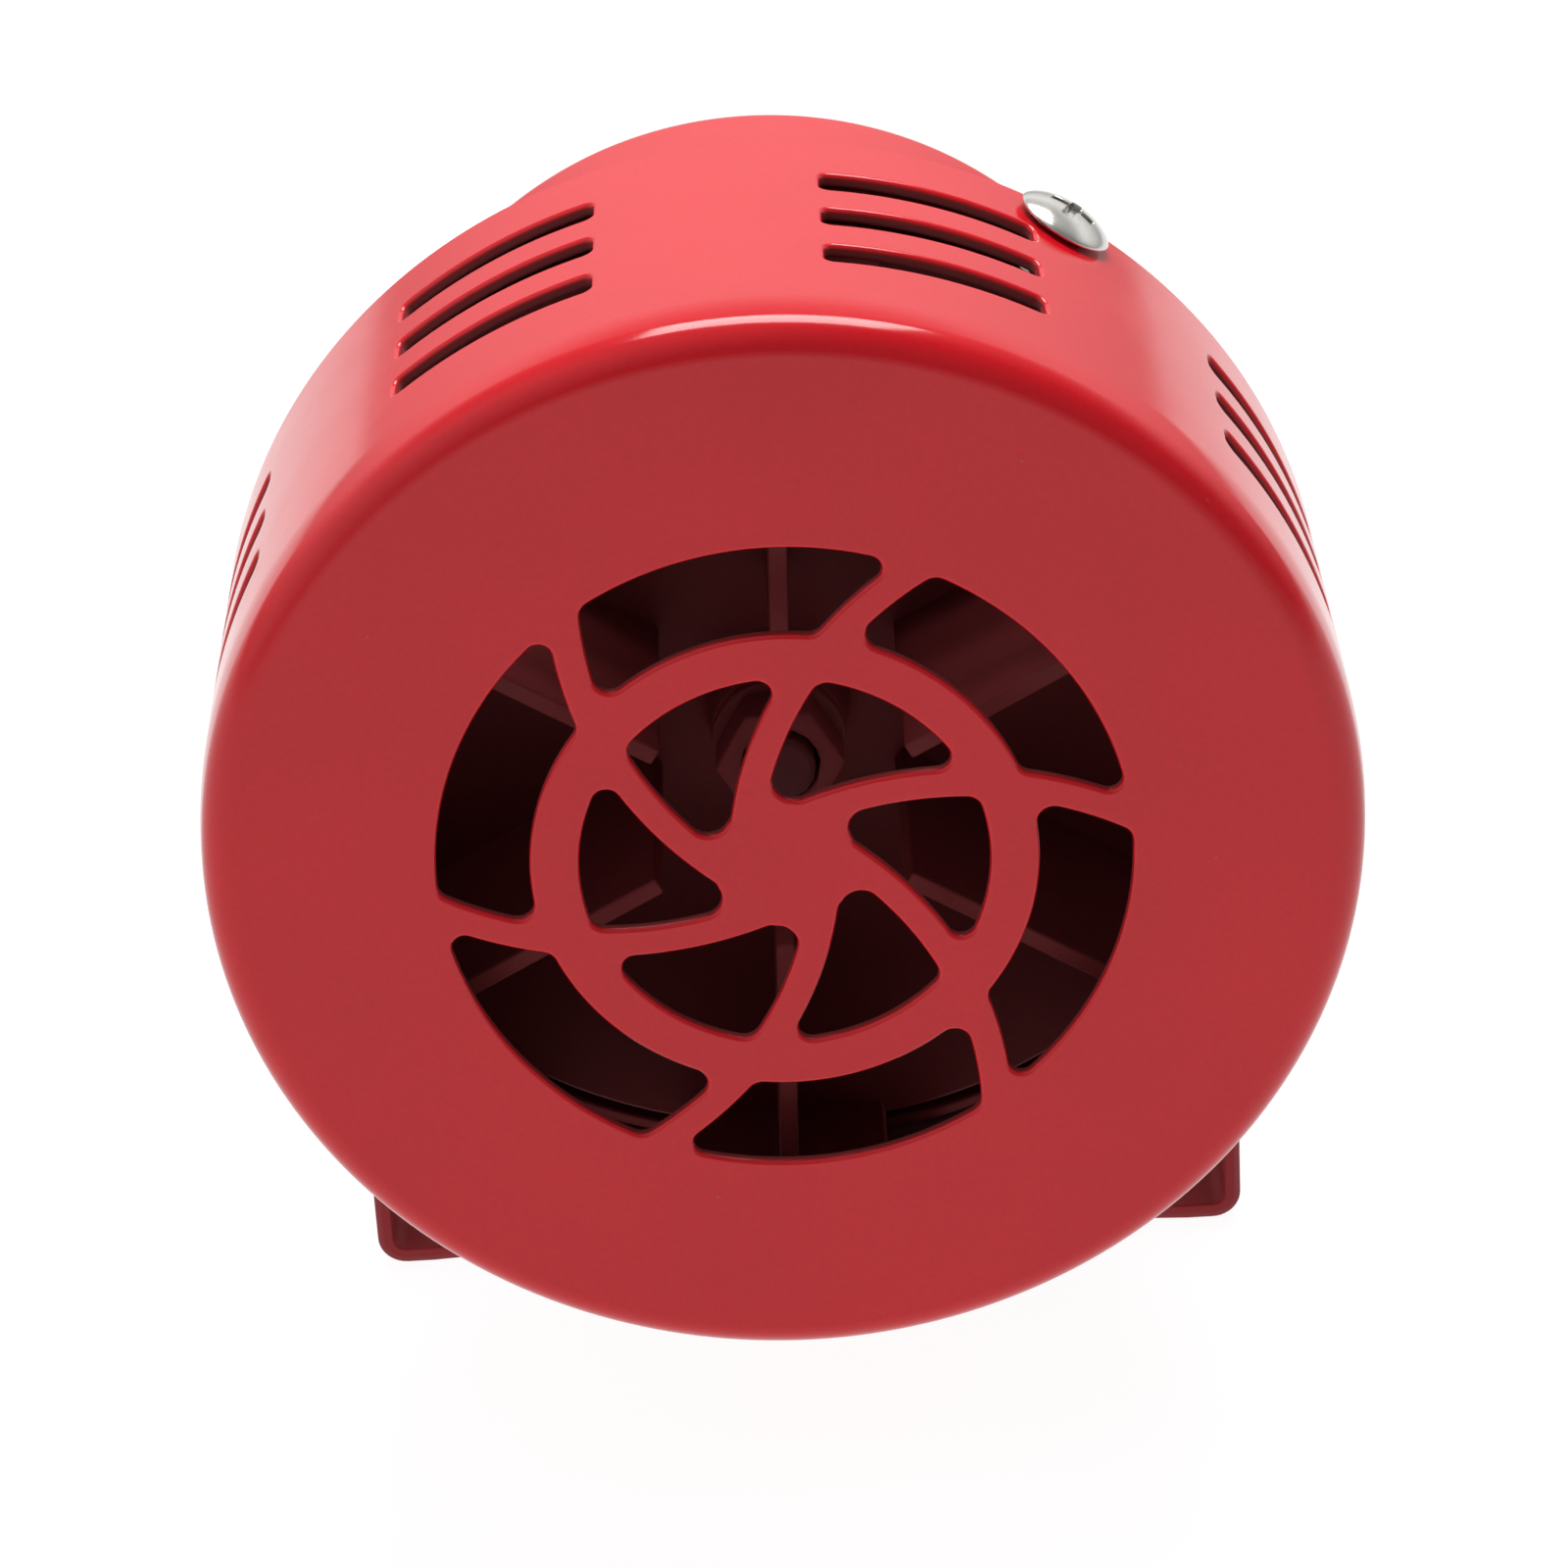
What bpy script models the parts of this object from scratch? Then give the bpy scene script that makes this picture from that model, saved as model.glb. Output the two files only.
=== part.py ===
"""A mini motor siren on a tilting U-bracket.

A pressed steel drum with a spiral grille and side slots covers a fan-like chopper wheel.  A small
brushed motor behind the drum turns it, inside a can that swings between the arms of a bracket.

Frame: metres, +Z up.  The drum's face looks along -Y, so +X is on the right of somebody looking at
it.  The origin is on the underside of the bracket's base, straight below the tilt axis.  Pieces of
the siren's body are modelled as (x, depth, z), where depth runs back from the drum's face and x and
z are measured from the drum's axis.
"""

import math

import bmesh
import bpy
from mathutils import Matrix, Vector

MM = 0.001
GAP = 0.3 * MM               # clearance left between neighbouring solids

# Drum: the deep-drawn front cover
DRUM_RADIUS = 40.0 * MM
DRUM_DEPTH = 32.3 * MM
DRUM_EDGE_RADIUS = 2.4 * MM
DRUM_LEAD_ANGLE = 9.0
DRUM_LEAD_RADIUS = 18.0 * MM
SHEET = 1.0 * MM
DRUM_BORE = DRUM_RADIUS - SHEET

# Side slots: eight groups of three
SLOT_GROUPS = 8
SLOT_FIRST_ANGLE = 71.7
SLOT_SPAN = 22.2
SLOT_DEPTHS = (12.1 * MM, 18.6 * MM, 24.9 * MM)
SLOT_WIDTH = 2.7 * MM

# Grille: six spiral ribs crossed by one ring
RIB_COUNT = 6
RIB_WIDTH = 2.2 * MM
RIB_ARC_RADIUS = 26.5 * MM
RIB_ARC_CENTRE_RADIUS = 23.75 * MM
RIB_ARC_CENTRE_ANGLE = -2.35
GRILLE_OUTER = 23.75 * MM
RING_OUTER = 17.4 * MM
RING_INNER = 14.0 * MM
GRILLE_CORNER = 0.9 * MM

# Rear can and the plate between drum and can
CAN_RADIUS = 30.4 * MM
CAN_FLANGE_RADIUS = 36.5 * MM
CAN_FRONT = 32.5 * MM
CAN_REAR = 65.0 * MM
CAN_EDGE_RADIUS = 3.0 * MM
CAN_BORE = CAN_RADIUS - SHEET
BULKHEAD_FRONT = 31.0 * MM
BULKHEAD_REAR = 32.2 * MM
BULKHEAD_LIP = 27.0 * MM
COVER_SCREW_DEPTH = 29.2 * MM
COVER_SCREW_ANGLES = (57.0, 237.0)
CAN_SCREW_ANGLES = (45.0, 135.0, 225.0, 315.0)
CAN_SCREW_CIRCLE = 34.0 * MM

# Tilt pivot and bracket
PIVOT_DEPTH = 48.0 * MM
AXIS_HEIGHT = 52.0 * MM
BRACKET_HALF_WIDTH = 33.6 * MM
BRACKET_SHEET = 1.2 * MM
BRACKET_BEND = 2.2 * MM
BRACKET_HALF_DEPTH = 14.0 * MM
ARM_HALF_WIDTH = 8.0 * MM
ARM_FLARE_HEIGHTS = (12.0 * MM, 25.0 * MM)
BASE_WAIST = 1.2 * MM
BASE_SLOT_X = 17.0 * MM
BASE_SLOT_LENGTH = 10.0 * MM
BASE_SLOT_WIDTH = 5.5 * MM
PIVOT_HOLE = 2.3 * MM

# Motor, by depth behind the drum's face
SHAFT_RADIUS = 2.5 * MM
SHAFT_ENDS = (13.6 * MM, 63.4 * MM)
BORE_RADIUS = SHAFT_RADIUS + GAP
STACK = (40.0 * MM, 50.0 * MM)
STACK_RADIUS = 28.6 * MM
STACK_HALF_WIDTH = 25.0 * MM
YOKE_INNER = 21.0 * MM
POLE_HALF_WIDTH = 6.0 * MM
POLE_SHOE = (12.3 * MM, 14.3 * MM)
POLE_SHOE_ANGLE = 40.0
ARMATURE_RADIUS = 11.7 * MM
ARMATURE_SLOTS = 8
ARMATURE_SLOT_FLOOR = 7.0 * MM
COMMUTATOR = (53.4 * MM, 58.2 * MM)
COMMUTATOR_RADIUS = 5.2 * MM
END_FRAME = (58.8 * MM, 60.0 * MM)
BEARING_RADIUS = 5.5 * MM
THROUGH_BOLT_OFFSET = 25.0 * MM
THROUGH_HOLE = 1.8 * MM
BRUSH_DEPTH = 55.8 * MM
BRUSH_START = 5.5 * MM
BRUSH_LENGTH = 7.0 * MM
BRUSH_SIZE = (3.2 * MM, 4.0 * MM)
HOLDER_ENDS = (7.0 * MM, 19.0 * MM)
HOLDER_WALL = 0.8 * MM
SPRING_RADIUS = 1.2 * MM
SPRING_WIRE = 0.25 * MM
SPRING_TURNS = 4

# Chopper wheel
WHEEL_RADIUS = 36.3 * MM
WHEEL_DISC = (25.6 * MM, 26.8 * MM)
WHEEL_FRONT = 6.5 * MM
WHEEL_VANES = 6
WHEEL_FIRST_ANGLE = 88.0
WHEEL_SHUTTER_SPAN = 24.0
VANE_THICKNESS = 1.3 * MM

# Cable inlet
GROMMET_HEIGHT = -19.0 * MM
GROMMET_HOLE = 3.3 * MM

ROUND = 48
SMALL_ROUND = 16

RED = (0.55, 0.012, 0.016)
DARK_RED = (0.30, 0.010, 0.014)
STEEL = (0.62, 0.62, 0.60)
DARK_STEEL = (0.20, 0.20, 0.21)
COPPER = (0.60, 0.24, 0.12)
BRASS = (0.70, 0.52, 0.22)
BLACK = (0.02, 0.02, 0.02)
CARBON = (0.06, 0.06, 0.065)


# ---------------------------------------------------------------- scene helpers

def clear_scene():
    for obj in list(bpy.data.objects):
        bpy.data.objects.remove(obj, do_unlink=True)


def add_empty(name, location, parent=None):
    empty = bpy.data.objects.new(name, None)
    empty.empty_display_size = 0.01
    empty.location = location
    empty.parent = parent
    bpy.context.collection.objects.link(empty)
    return empty


def add_material(name, colour, roughness, metallic):
    material = bpy.data.materials.new(name)
    material.use_nodes = True
    shader = material.node_tree.nodes["Principled BSDF"]
    shader.inputs["Base Color"].default_value = (*colour, 1.0)
    shader.inputs["Roughness"].default_value = roughness
    shader.inputs["Metallic"].default_value = metallic
    return material


def painted(name, colour=RED):
    return add_material(name, colour, 0.3, 0.0)


def metal(name, colour=STEEL, roughness=0.35):
    return add_material(name, colour, roughness, 1.0)


def plastic(name, colour=BLACK, roughness=0.5):
    return add_material(name, colour, roughness, 0.0)


def mesh_from(bm, name, sharp_angle=35.0):
    bmesh.ops.recalc_face_normals(bm, faces=bm.faces)
    mesh = bpy.data.meshes.new(name)
    bm.to_mesh(mesh)
    bm.free()
    mesh.shade_smooth()
    mesh.set_sharp_from_angle(angle=math.radians(sharp_angle))
    return mesh


def add_object(name, mesh, material, parent=None, location=(0, 0, 0)):
    obj = bpy.data.objects.new(name, mesh)
    if not mesh.materials:
        mesh.materials.append(material)
    obj.location = location
    obj.parent = parent
    bpy.context.collection.objects.link(obj)
    return obj


def aim(obj, direction):
    """Turn an object so that its own +Y points along the direction."""
    obj.rotation_mode = "QUATERNION"
    obj.rotation_quaternion = Vector((0, 1, 0)).rotation_difference(Vector(direction))


def cut(target, name, mesh, operation="DIFFERENCE"):
    """Cut the target with a hidden cutter that has the target's own placement."""
    cutter = bpy.data.objects.new(name, mesh)
    cutter.parent = target
    cutter.hide_render = True
    cutter.display_type = "WIRE"
    bpy.context.collection.objects.link(cutter)
    modifier = target.modifiers.new(name, "BOOLEAN")
    modifier.operation = operation
    modifier.solver = "EXACT"
    modifier.object = cutter


# ---------------------------------------------------------------- shape helpers

def polar(radius, degrees):
    angle = math.radians(degrees)
    return Vector((radius * math.cos(angle), radius * math.sin(angle)))


def arc(centre, radius, start, end, steps):
    """Points from one angle to another, in degrees, both ends included."""
    centre = Vector(centre)
    return [centre + polar(radius, start + (end - start) * i / steps) for i in range(steps + 1)]


def trimmed(section, reach):
    """A run of points, shortened by the same length at both ends."""
    for _ in range(2):
        left = reach
        while (section[1] - section[0]).length < left:
            left -= (section[1] - section[0]).length
            section = section[1:]
        start = section[0] + (section[1] - section[0]).normalized() * left
        section = list(reversed([start] + section[1:]))
    return section


def rounded_outline(sections, reach, steps=3):
    """Join runs of points end to end into one outline and round the corners between them."""
    cut_back = [trimmed(section, reach) for section in sections]
    outline = []
    for index, section in enumerate(cut_back):
        corner = sections[index][-1]
        start = section[-1]
        end = cut_back[(index + 1) % len(cut_back)][0]
        outline += section
        for step in range(1, steps):
            share = step / steps
            outline.append(start.lerp(corner, share).lerp(corner.lerp(end, share), share))
    return outline


def revolve(profile, segments=ROUND):
    """A solid turned about the Y axis from (depth, radius) points, its flat ends single faces."""
    flat_start = profile[0][1] == 0.0 and profile[0][0] == profile[1][0]
    flat_end = profile[-1][1] == 0.0 and profile[-1][0] == profile[-2][0]
    ring = profile[1 if flat_start else 0:len(profile) - (1 if flat_end else 0)]
    bm = bmesh.new()
    verts = [bm.verts.new((radius, depth, 0)) for depth, radius in ring]
    edges = [bm.edges.new(pair) for pair in zip(verts, verts[1:])]
    if profile[0][1] > 0 and profile[-1][1] > 0:
        edges.append(bm.edges.new((verts[-1], verts[0])))
    bmesh.ops.spin(bm, geom=verts + edges, cent=(0, 0, 0), axis=(0, 1, 0),
                   angle=math.tau, steps=segments, use_merge=True)
    bmesh.ops.remove_doubles(bm, verts=bm.verts, dist=1e-7)
    bmesh.ops.holes_fill(bm, edges=bm.edges, sides=0)
    return bm


def ring_profile(front, rear, inner, outer):
    return [(front, inner), (front, outer), (rear, outer), (rear, inner)]


def extrude_depth(bm, outline, front, rear):
    """Add a prism between two depths, its outline given as (x, z) points."""
    verts = [bm.verts.new((point[0], front, point[1])) for point in outline]
    face = bm.faces.new(verts)
    moved = bmesh.ops.extrude_face_region(bm, geom=[face])["geom"]
    new_verts = [item for item in moved if isinstance(item, bmesh.types.BMVert)]
    bmesh.ops.translate(bm, verts=new_verts, vec=(0, rear - front, 0))


def prism(outline, front, rear):
    bm = bmesh.new()
    extrude_depth(bm, outline, front, rear)
    return bm


def rounded_box(x, y, reach):
    """A rectangle with rounded corners, from its half sizes."""
    points = [Vector(p) for p in ((x, -y), (x, y), (-x, y), (-x, -y))]
    sections = [[points[i], points[(i + 1) % 4]] for i in range(4)]
    return rounded_outline(sections, reach)


def turned_prism(outline, front, rear, direction):
    """A prism whose length runs along the direction instead of Y."""
    bm = prism(outline, front, rear)
    turn = Vector((0, 1, 0)).rotation_difference(Vector(direction))
    bmesh.ops.rotate(bm, verts=bm.verts, cent=(0, 0, 0), matrix=turn.to_matrix())
    return bm


def block(low, high):
    low = Vector(low)
    high = Vector(high)
    bm = bmesh.new()
    bmesh.ops.create_cube(bm, size=1.0)
    bmesh.ops.scale(bm, verts=bm.verts, vec=high - low)
    bmesh.ops.translate(bm, verts=bm.verts, vec=(low + high) / 2.0)
    return bm


def circle(radius, segments=SMALL_ROUND, centre=(0, 0)):
    centre = Vector(centre)
    return [centre + polar(radius, 360.0 * i / segments) for i in range(segments)]


def hexagon(radius):
    return circle(radius / math.cos(math.pi / 6.0), 6)


def wedge(inner, outer, centre_angle, span, steps):
    """A piece of a ring, as (x, z) points."""
    start = centre_angle - span / 2.0
    end = centre_angle + span / 2.0
    return arc((0, 0), outer, start, end, steps) + arc((0, 0), inner, end, start, steps)


# ---------------------------------------------------------------- fasteners

def cross_recess(width, reach, floor, top):
    """The cutter for a cross-shaped driver recess."""
    half = width / 2.0
    arm = [(reach, -half), (reach, half), (half, half)]
    outline = []
    for quarter in range(4):
        turn = Matrix.Rotation(quarter * math.pi / 2.0, 2)
        outline += [turn @ Vector(point) for point in arm]
    return prism(outline, floor, top)


def screw_blank(name, head_radius, head_height, shank_radius, length):
    """A screw with a low domed head, along Y: the head's underside is at 0 and the tip at -length."""
    chamfer = 0.3 * shank_radius
    rim = 0.15 * head_height
    profile = [(-length, 0.0), (-length, shank_radius - chamfer), (-length + chamfer, shank_radius)]
    profile += [(0.0, shank_radius), (0.0, head_radius), (rim, head_radius)]
    for share in (0.85, 0.6, 0.3):
        profile.append((rim + (head_height - rim) * (1.0 - share ** 2), share * head_radius))
    profile.append((head_height, 0.0))
    return mesh_from(revolve(profile, SMALL_ROUND), name)


def dome_screw(name, head_radius, head_height, shank_radius, length):
    """A dome-head screw with a cross recess in its head."""
    mesh = screw_blank(name, head_radius, head_height, shank_radius, length)
    recess = mesh_from(cross_recess(0.24 * head_radius, 0.5 * head_radius, 0.4 * head_height,
                                    1.2 * head_height), name + "_recess")
    blank = bpy.data.objects.new(name + "_blank", mesh)
    bpy.context.collection.objects.link(blank)
    cut(blank, name + "_recess_cutter", recess)
    evaluated = blank.evaluated_get(bpy.context.evaluated_depsgraph_get())
    finished = bpy.data.meshes.new_from_object(evaluated)
    for used in list(blank.children) + [blank]:
        bpy.data.objects.remove(used, do_unlink=True)
    return finished


# ---------------------------------------------------------------- grille

def rib_edge_angle(radius, side):
    """The angle at which one edge of the first spiral rib crosses a radius."""
    edge_radius = RIB_ARC_RADIUS + side * RIB_WIDTH / 2.0
    reach = RIB_ARC_CENTRE_RADIUS
    cosine = (radius ** 2 + reach ** 2 - edge_radius ** 2) / (2.0 * radius * reach)
    return RIB_ARC_CENTRE_ANGLE + math.degrees(math.acos(max(-1.0, min(1.0, cosine))))


def opening_edges(radius):
    """Start and end angles of the opening between two ribs at a radius."""
    pitch = 360.0 / RIB_COUNT
    return rib_edge_angle(radius, 1) - pitch, rib_edge_angle(radius, -1)


def inner_tip_radius():
    """The radius where two neighbouring ribs meet at the hub."""
    low = RIB_ARC_RADIUS - RIB_ARC_CENTRE_RADIUS + RIB_WIDTH
    high = RING_INNER
    for _ in range(40):
        middle = (low + high) / 2.0
        start, end = opening_edges(middle)
        if end > start:
            high = middle
        else:
            low = middle
    return high


def grille_outline(inner, outer, edge_steps):
    """One opening between two ribs, from its outer arc in to its inner arc or its point."""
    start, end = opening_edges(outer)
    radii = [outer + (inner - outer) * i / edge_steps for i in range(edge_steps + 1)]
    inward = [polar(radius, opening_edges(radius)[1]) for radius in radii]
    outward = [polar(radius, opening_edges(radius)[0]) for radius in reversed(radii)]
    sections = [arc((0, 0), outer, start, end, 5), inward]
    inner_start, inner_end = opening_edges(inner)
    if inner_end - inner_start > 1.0:
        sections.append(arc((0, 0), inner, inner_end, inner_start, 5))
    else:
        outward[0] = inward[-1]
    return rounded_outline(sections + [outward], GRILLE_CORNER, 2)


def rotated(outline, degrees):
    turn = Matrix.Rotation(math.radians(degrees), 2)
    return [turn @ Vector(point) for point in outline]


def grille_cutter():
    bm = bmesh.new()
    outer = grille_outline(RING_OUTER, GRILLE_OUTER, 3)
    inner = grille_outline(inner_tip_radius(), RING_INNER, 5)
    for index in range(RIB_COUNT):
        for outline in (outer, inner):
            turned = rotated(outline, index * 360.0 / RIB_COUNT)
            extrude_depth(bm, turned, -1 * MM, 3 * MM)
    return bm


# ---------------------------------------------------------------- siren body

def front_cover(parent, location):
    """The drum: a flat face, a tight bend, a shallow sweep out to full width and a straight side."""
    lead = 90.0 + DRUM_LEAD_ANGLE
    sweep = polar(DRUM_LEAD_RADIUS, lead)
    bend_end = polar(DRUM_EDGE_RADIUS, lead)
    bend_centre = Vector((DRUM_EDGE_RADIUS, DRUM_RADIUS - DRUM_LEAD_RADIUS + sweep.y - bend_end.y))
    sweep_centre = Vector((bend_centre.x + bend_end.x - sweep.x, DRUM_RADIUS - DRUM_LEAD_RADIUS))
    outside = arc(bend_centre, DRUM_EDGE_RADIUS, 180.0, lead, 4)
    outside += arc(sweep_centre, DRUM_LEAD_RADIUS, lead, 90.0, 2)[1:]
    inside = arc(sweep_centre, DRUM_LEAD_RADIUS - SHEET, 90.0, lead, 2)
    inside += arc(bend_centre, DRUM_EDGE_RADIUS - SHEET, lead, 180.0, 2)[1:]
    profile = [(0.0, 0.0)] + [tuple(p) for p in outside]
    profile += [(DRUM_DEPTH, DRUM_RADIUS), (DRUM_DEPTH, DRUM_BORE)]
    profile += [tuple(p) for p in inside] + [(SHEET, 0.0)]
    cover = add_object("front_cover", mesh_from(revolve(profile), "front_cover"),
                       painted("front_cover_paint"), parent, location)
    cut(cover, "grille_cutter", mesh_from(grille_cutter(), "grille_cutter"))
    slots = bmesh.new()
    for group in range(SLOT_GROUPS):
        angle = SLOT_FIRST_ANGLE + group * 360.0 / SLOT_GROUPS
        outline = wedge(DRUM_BORE - MM, DRUM_RADIUS + 2 * MM, angle, SLOT_SPAN, 1)
        for depth in SLOT_DEPTHS:
            extrude_depth(slots, outline, depth - SLOT_WIDTH / 2.0, depth + SLOT_WIDTH / 2.0)
    cut(cover, "slot_cutter", mesh_from(slots, "slot_cutter"))
    cut(cover, "cover_hole_cutter", radial_holes(COVER_SCREW_ANGLES, COVER_SCREW_DEPTH, 2.1 * MM,
                                                 DRUM_BORE - MM, DRUM_RADIUS + MM))


def radial_holes(angles, depth, radius, start, end):
    """One mesh of round cutters that stand on the drum's axis at a depth."""
    bm = bmesh.new()
    for angle in angles:
        hole = bmesh.ops.create_cone(bm, cap_ends=True, segments=16, radius1=radius, radius2=radius,
                                     depth=end - start)["verts"]
        direction = polar(1.0, angle)
        outward = Vector((direction.x, 0.0, direction.y))
        turn = Vector((0, 0, 1)).rotation_difference(outward)
        bmesh.ops.rotate(bm, verts=hole, cent=(0, 0, 0), matrix=turn.to_matrix())
        centre = outward * (start + end) / 2.0 + Vector((0, depth, 0))
        bmesh.ops.translate(bm, verts=hole, vec=centre)
    return mesh_from(bm, "radial_holes")


def axial_holes(places, front, rear):
    """One mesh of round cutters along the depth: places are (x, z, radius)."""
    bm = bmesh.new()
    for x, z, radius in places:
        extrude_depth(bm, circle(radius, 16, (x, z)), front, rear)
    return mesh_from(bm, "axial_holes")


def can_screw_places():
    return [polar(CAN_SCREW_CIRCLE, angle) for angle in CAN_SCREW_ANGLES]


def bulkhead(parent, location):
    """The plate that closes the drum and carries the motor, with a bearing cup at its back."""
    lip = DRUM_BORE - GAP
    cup_inner = BEARING_RADIUS + GAP
    cup_outer = cup_inner + SHEET
    cup_rear = BULKHEAD_REAR + 4.3 * MM
    bend = arc((BULKHEAD_REAR - 2 * MM, lip - 2 * MM), 2 * MM, 90.0, 0.0, 2)
    profile = [(BULKHEAD_FRONT, 3.5 * MM), (BULKHEAD_FRONT, lip - 2 * MM), (BULKHEAD_FRONT - 0.8 * MM,
               lip - SHEET), (BULKHEAD_LIP, lip - SHEET), (BULKHEAD_LIP, lip)]
    profile += [tuple(p) for p in bend]
    profile += [(BULKHEAD_REAR, cup_outer), (cup_rear, cup_outer), (cup_rear, cup_inner),
                (BULKHEAD_REAR, cup_inner), (BULKHEAD_REAR, 3.5 * MM)]
    plate = add_object("bulkhead", mesh_from(revolve(profile, 40), "bulkhead"),
                       painted("bulkhead_paint", DARK_RED), parent, location)
    holes = [(p.x, p.y, THROUGH_HOLE) for p in can_screw_places()]
    holes += [(0.0, side * THROUGH_BOLT_OFFSET, THROUGH_HOLE) for side in (1, -1)]
    cut(plate, "bulkhead_hole_cutter", axial_holes(holes, BULKHEAD_FRONT - MM, BULKHEAD_REAR + MM))
    cut(plate, "bulkhead_tap_cutter", radial_holes(COVER_SCREW_ANGLES, COVER_SCREW_DEPTH, 2.1 * MM,
                                                   lip - 2 * SHEET, lip + MM))


def rear_can(parent, location):
    edge = CAN_EDGE_RADIUS
    flange_rear = CAN_FRONT + SHEET
    outside = arc((CAN_REAR - edge, CAN_RADIUS - edge), edge, 90.0, 0.0, 3)
    inside = arc((CAN_REAR - edge, CAN_RADIUS - edge), edge - SHEET, 0.0, 90.0, 2)
    profile = [(CAN_FRONT, CAN_BORE), (CAN_FRONT, CAN_FLANGE_RADIUS), (flange_rear, CAN_FLANGE_RADIUS)]
    profile += [(flange_rear, CAN_RADIUS + 0.6 * MM), (flange_rear + 0.6 * MM, CAN_RADIUS)]
    profile += [tuple(p) for p in outside]
    profile.append((CAN_REAR, 0.0))
    profile = [(CAN_REAR - SHEET, 0.0)] + [tuple(p) for p in inside] + profile
    can = add_object("rear_can", mesh_from(revolve(profile, 48), "rear_can"),
                     painted("rear_can_paint"), parent, location)
    holes = [(p.x, p.y, THROUGH_HOLE) for p in can_screw_places()]
    cut(can, "flange_hole_cutter", axial_holes(holes, CAN_FRONT - MM, flange_rear + MM))
    cut(can, "inlet_hole_cutter", axial_holes([(0.0, GROMMET_HEIGHT, GROMMET_HOLE)],
                                              CAN_REAR - 2 * SHEET, CAN_REAR + MM))
    cut(can, "pivot_hole_cutter", radial_holes((0.0, 180.0), PIVOT_DEPTH, PIVOT_HOLE,
                                               CAN_BORE - MM, CAN_RADIUS + MM))


def cable_grommet(parent, location):
    neck = GROMMET_HOLE - GAP
    wall = (CAN_REAR - SHEET - GAP, CAN_REAR + GAP)
    bore = 1.6 * MM
    profile = [(wall[0] - 1.2 * MM, bore), (wall[0] - 1.2 * MM, 3.6 * MM), (wall[0], 4.2 * MM),
               (wall[0], neck), (wall[1], neck), (wall[1], 4.6 * MM), (wall[1] + 0.8 * MM, 4.6 * MM),
               (wall[1] + 1.6 * MM, 3.4 * MM), (wall[1] + 2.6 * MM, 2.8 * MM), (wall[1] + 2.6 * MM, bore)]
    place = (location[0], location[1], GROMMET_HEIGHT)
    add_object("cable_grommet", mesh_from(revolve(profile, SMALL_ROUND), "cable_grommet"),
               plastic("grommet_rubber", BLACK, 0.7), parent, place)


def body_screws(parent, location):
    """The screws that hold the cover to the plate and the can to the plate."""
    cover_mesh = dome_screw("cover_screw", 3.5 * MM, 1.35 * MM, 1.75 * MM, 5.0 * MM)
    for label, angle in zip(("upper", "lower"), COVER_SCREW_ANGLES):
        outward = polar(1.0, angle)
        seat = outward * (DRUM_RADIUS + GAP)
        screw = add_object("cover_screw_" + label, cover_mesh, metal("cover_screw_plating"), parent,
                           (seat.x, location[1] + COVER_SCREW_DEPTH, seat.y))
        aim(screw, (outward.x, 0.0, outward.y))
    can_mesh = dome_screw("can_screw", 2.5 * MM, 1.5 * MM, 1.5 * MM, 3.8 * MM)
    seat_depth = CAN_FRONT + SHEET + GAP
    for index, place in enumerate(can_screw_places()):
        add_object("can_screw_" + str(index + 1), can_mesh, metal("can_screw_plating"), parent,
                   (place.x, location[1] + seat_depth, place.y))


# ---------------------------------------------------------------- tilt pivot

def pivot_hardware(parent):
    """Screw, spring washer, spacer and clinch nut at each arm of the bracket."""
    arm_outer = BRACKET_HALF_WIDTH
    arm_inner = BRACKET_HALF_WIDTH - BRACKET_SHEET
    washer = (arm_outer + GAP, arm_outer + GAP + 0.8 * MM)
    spacer = (CAN_RADIUS + GAP, arm_inner - GAP)
    nut_outer = CAN_BORE - 0.7 * MM
    nut = (nut_outer - 3.2 * MM, nut_outer)
    seat = washer[1] + GAP
    screw_mesh = dome_screw("pivot_screw", 3.9 * MM, 2.0 * MM, 2.0 * MM, seat - nut[0] - 0.2 * MM)
    washer_mesh = mesh_from(revolve(ring_profile(*washer, PIVOT_HOLE, 4.4 * MM), SMALL_ROUND), "washer")
    spacer_mesh = mesh_from(revolve(ring_profile(*spacer, PIVOT_HOLE, 6.0 * MM), SMALL_ROUND), "spacer")
    nut_mesh = mesh_from(revolve(ring_profile(*nut, PIVOT_HOLE, 4.2 * MM), SMALL_ROUND), "nut")
    for label, side in (("left", -1), ("right", 1)):
        outward = (side, 0, 0)
        screw = add_object("pivot_screw_" + label, screw_mesh, metal("pivot_screw_plating"), parent,
                           (side * seat, 0, 0))
        aim(screw, outward)
        aim(add_object("pivot_washer_" + label, washer_mesh, metal("washer_steel"), parent), outward)
        aim(add_object("pivot_spacer_" + label, spacer_mesh, plastic("spacer_nylon"), parent), outward)
        aim(add_object("pivot_nut_" + label, nut_mesh, metal("clinch_nut_steel"), parent), outward)


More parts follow.
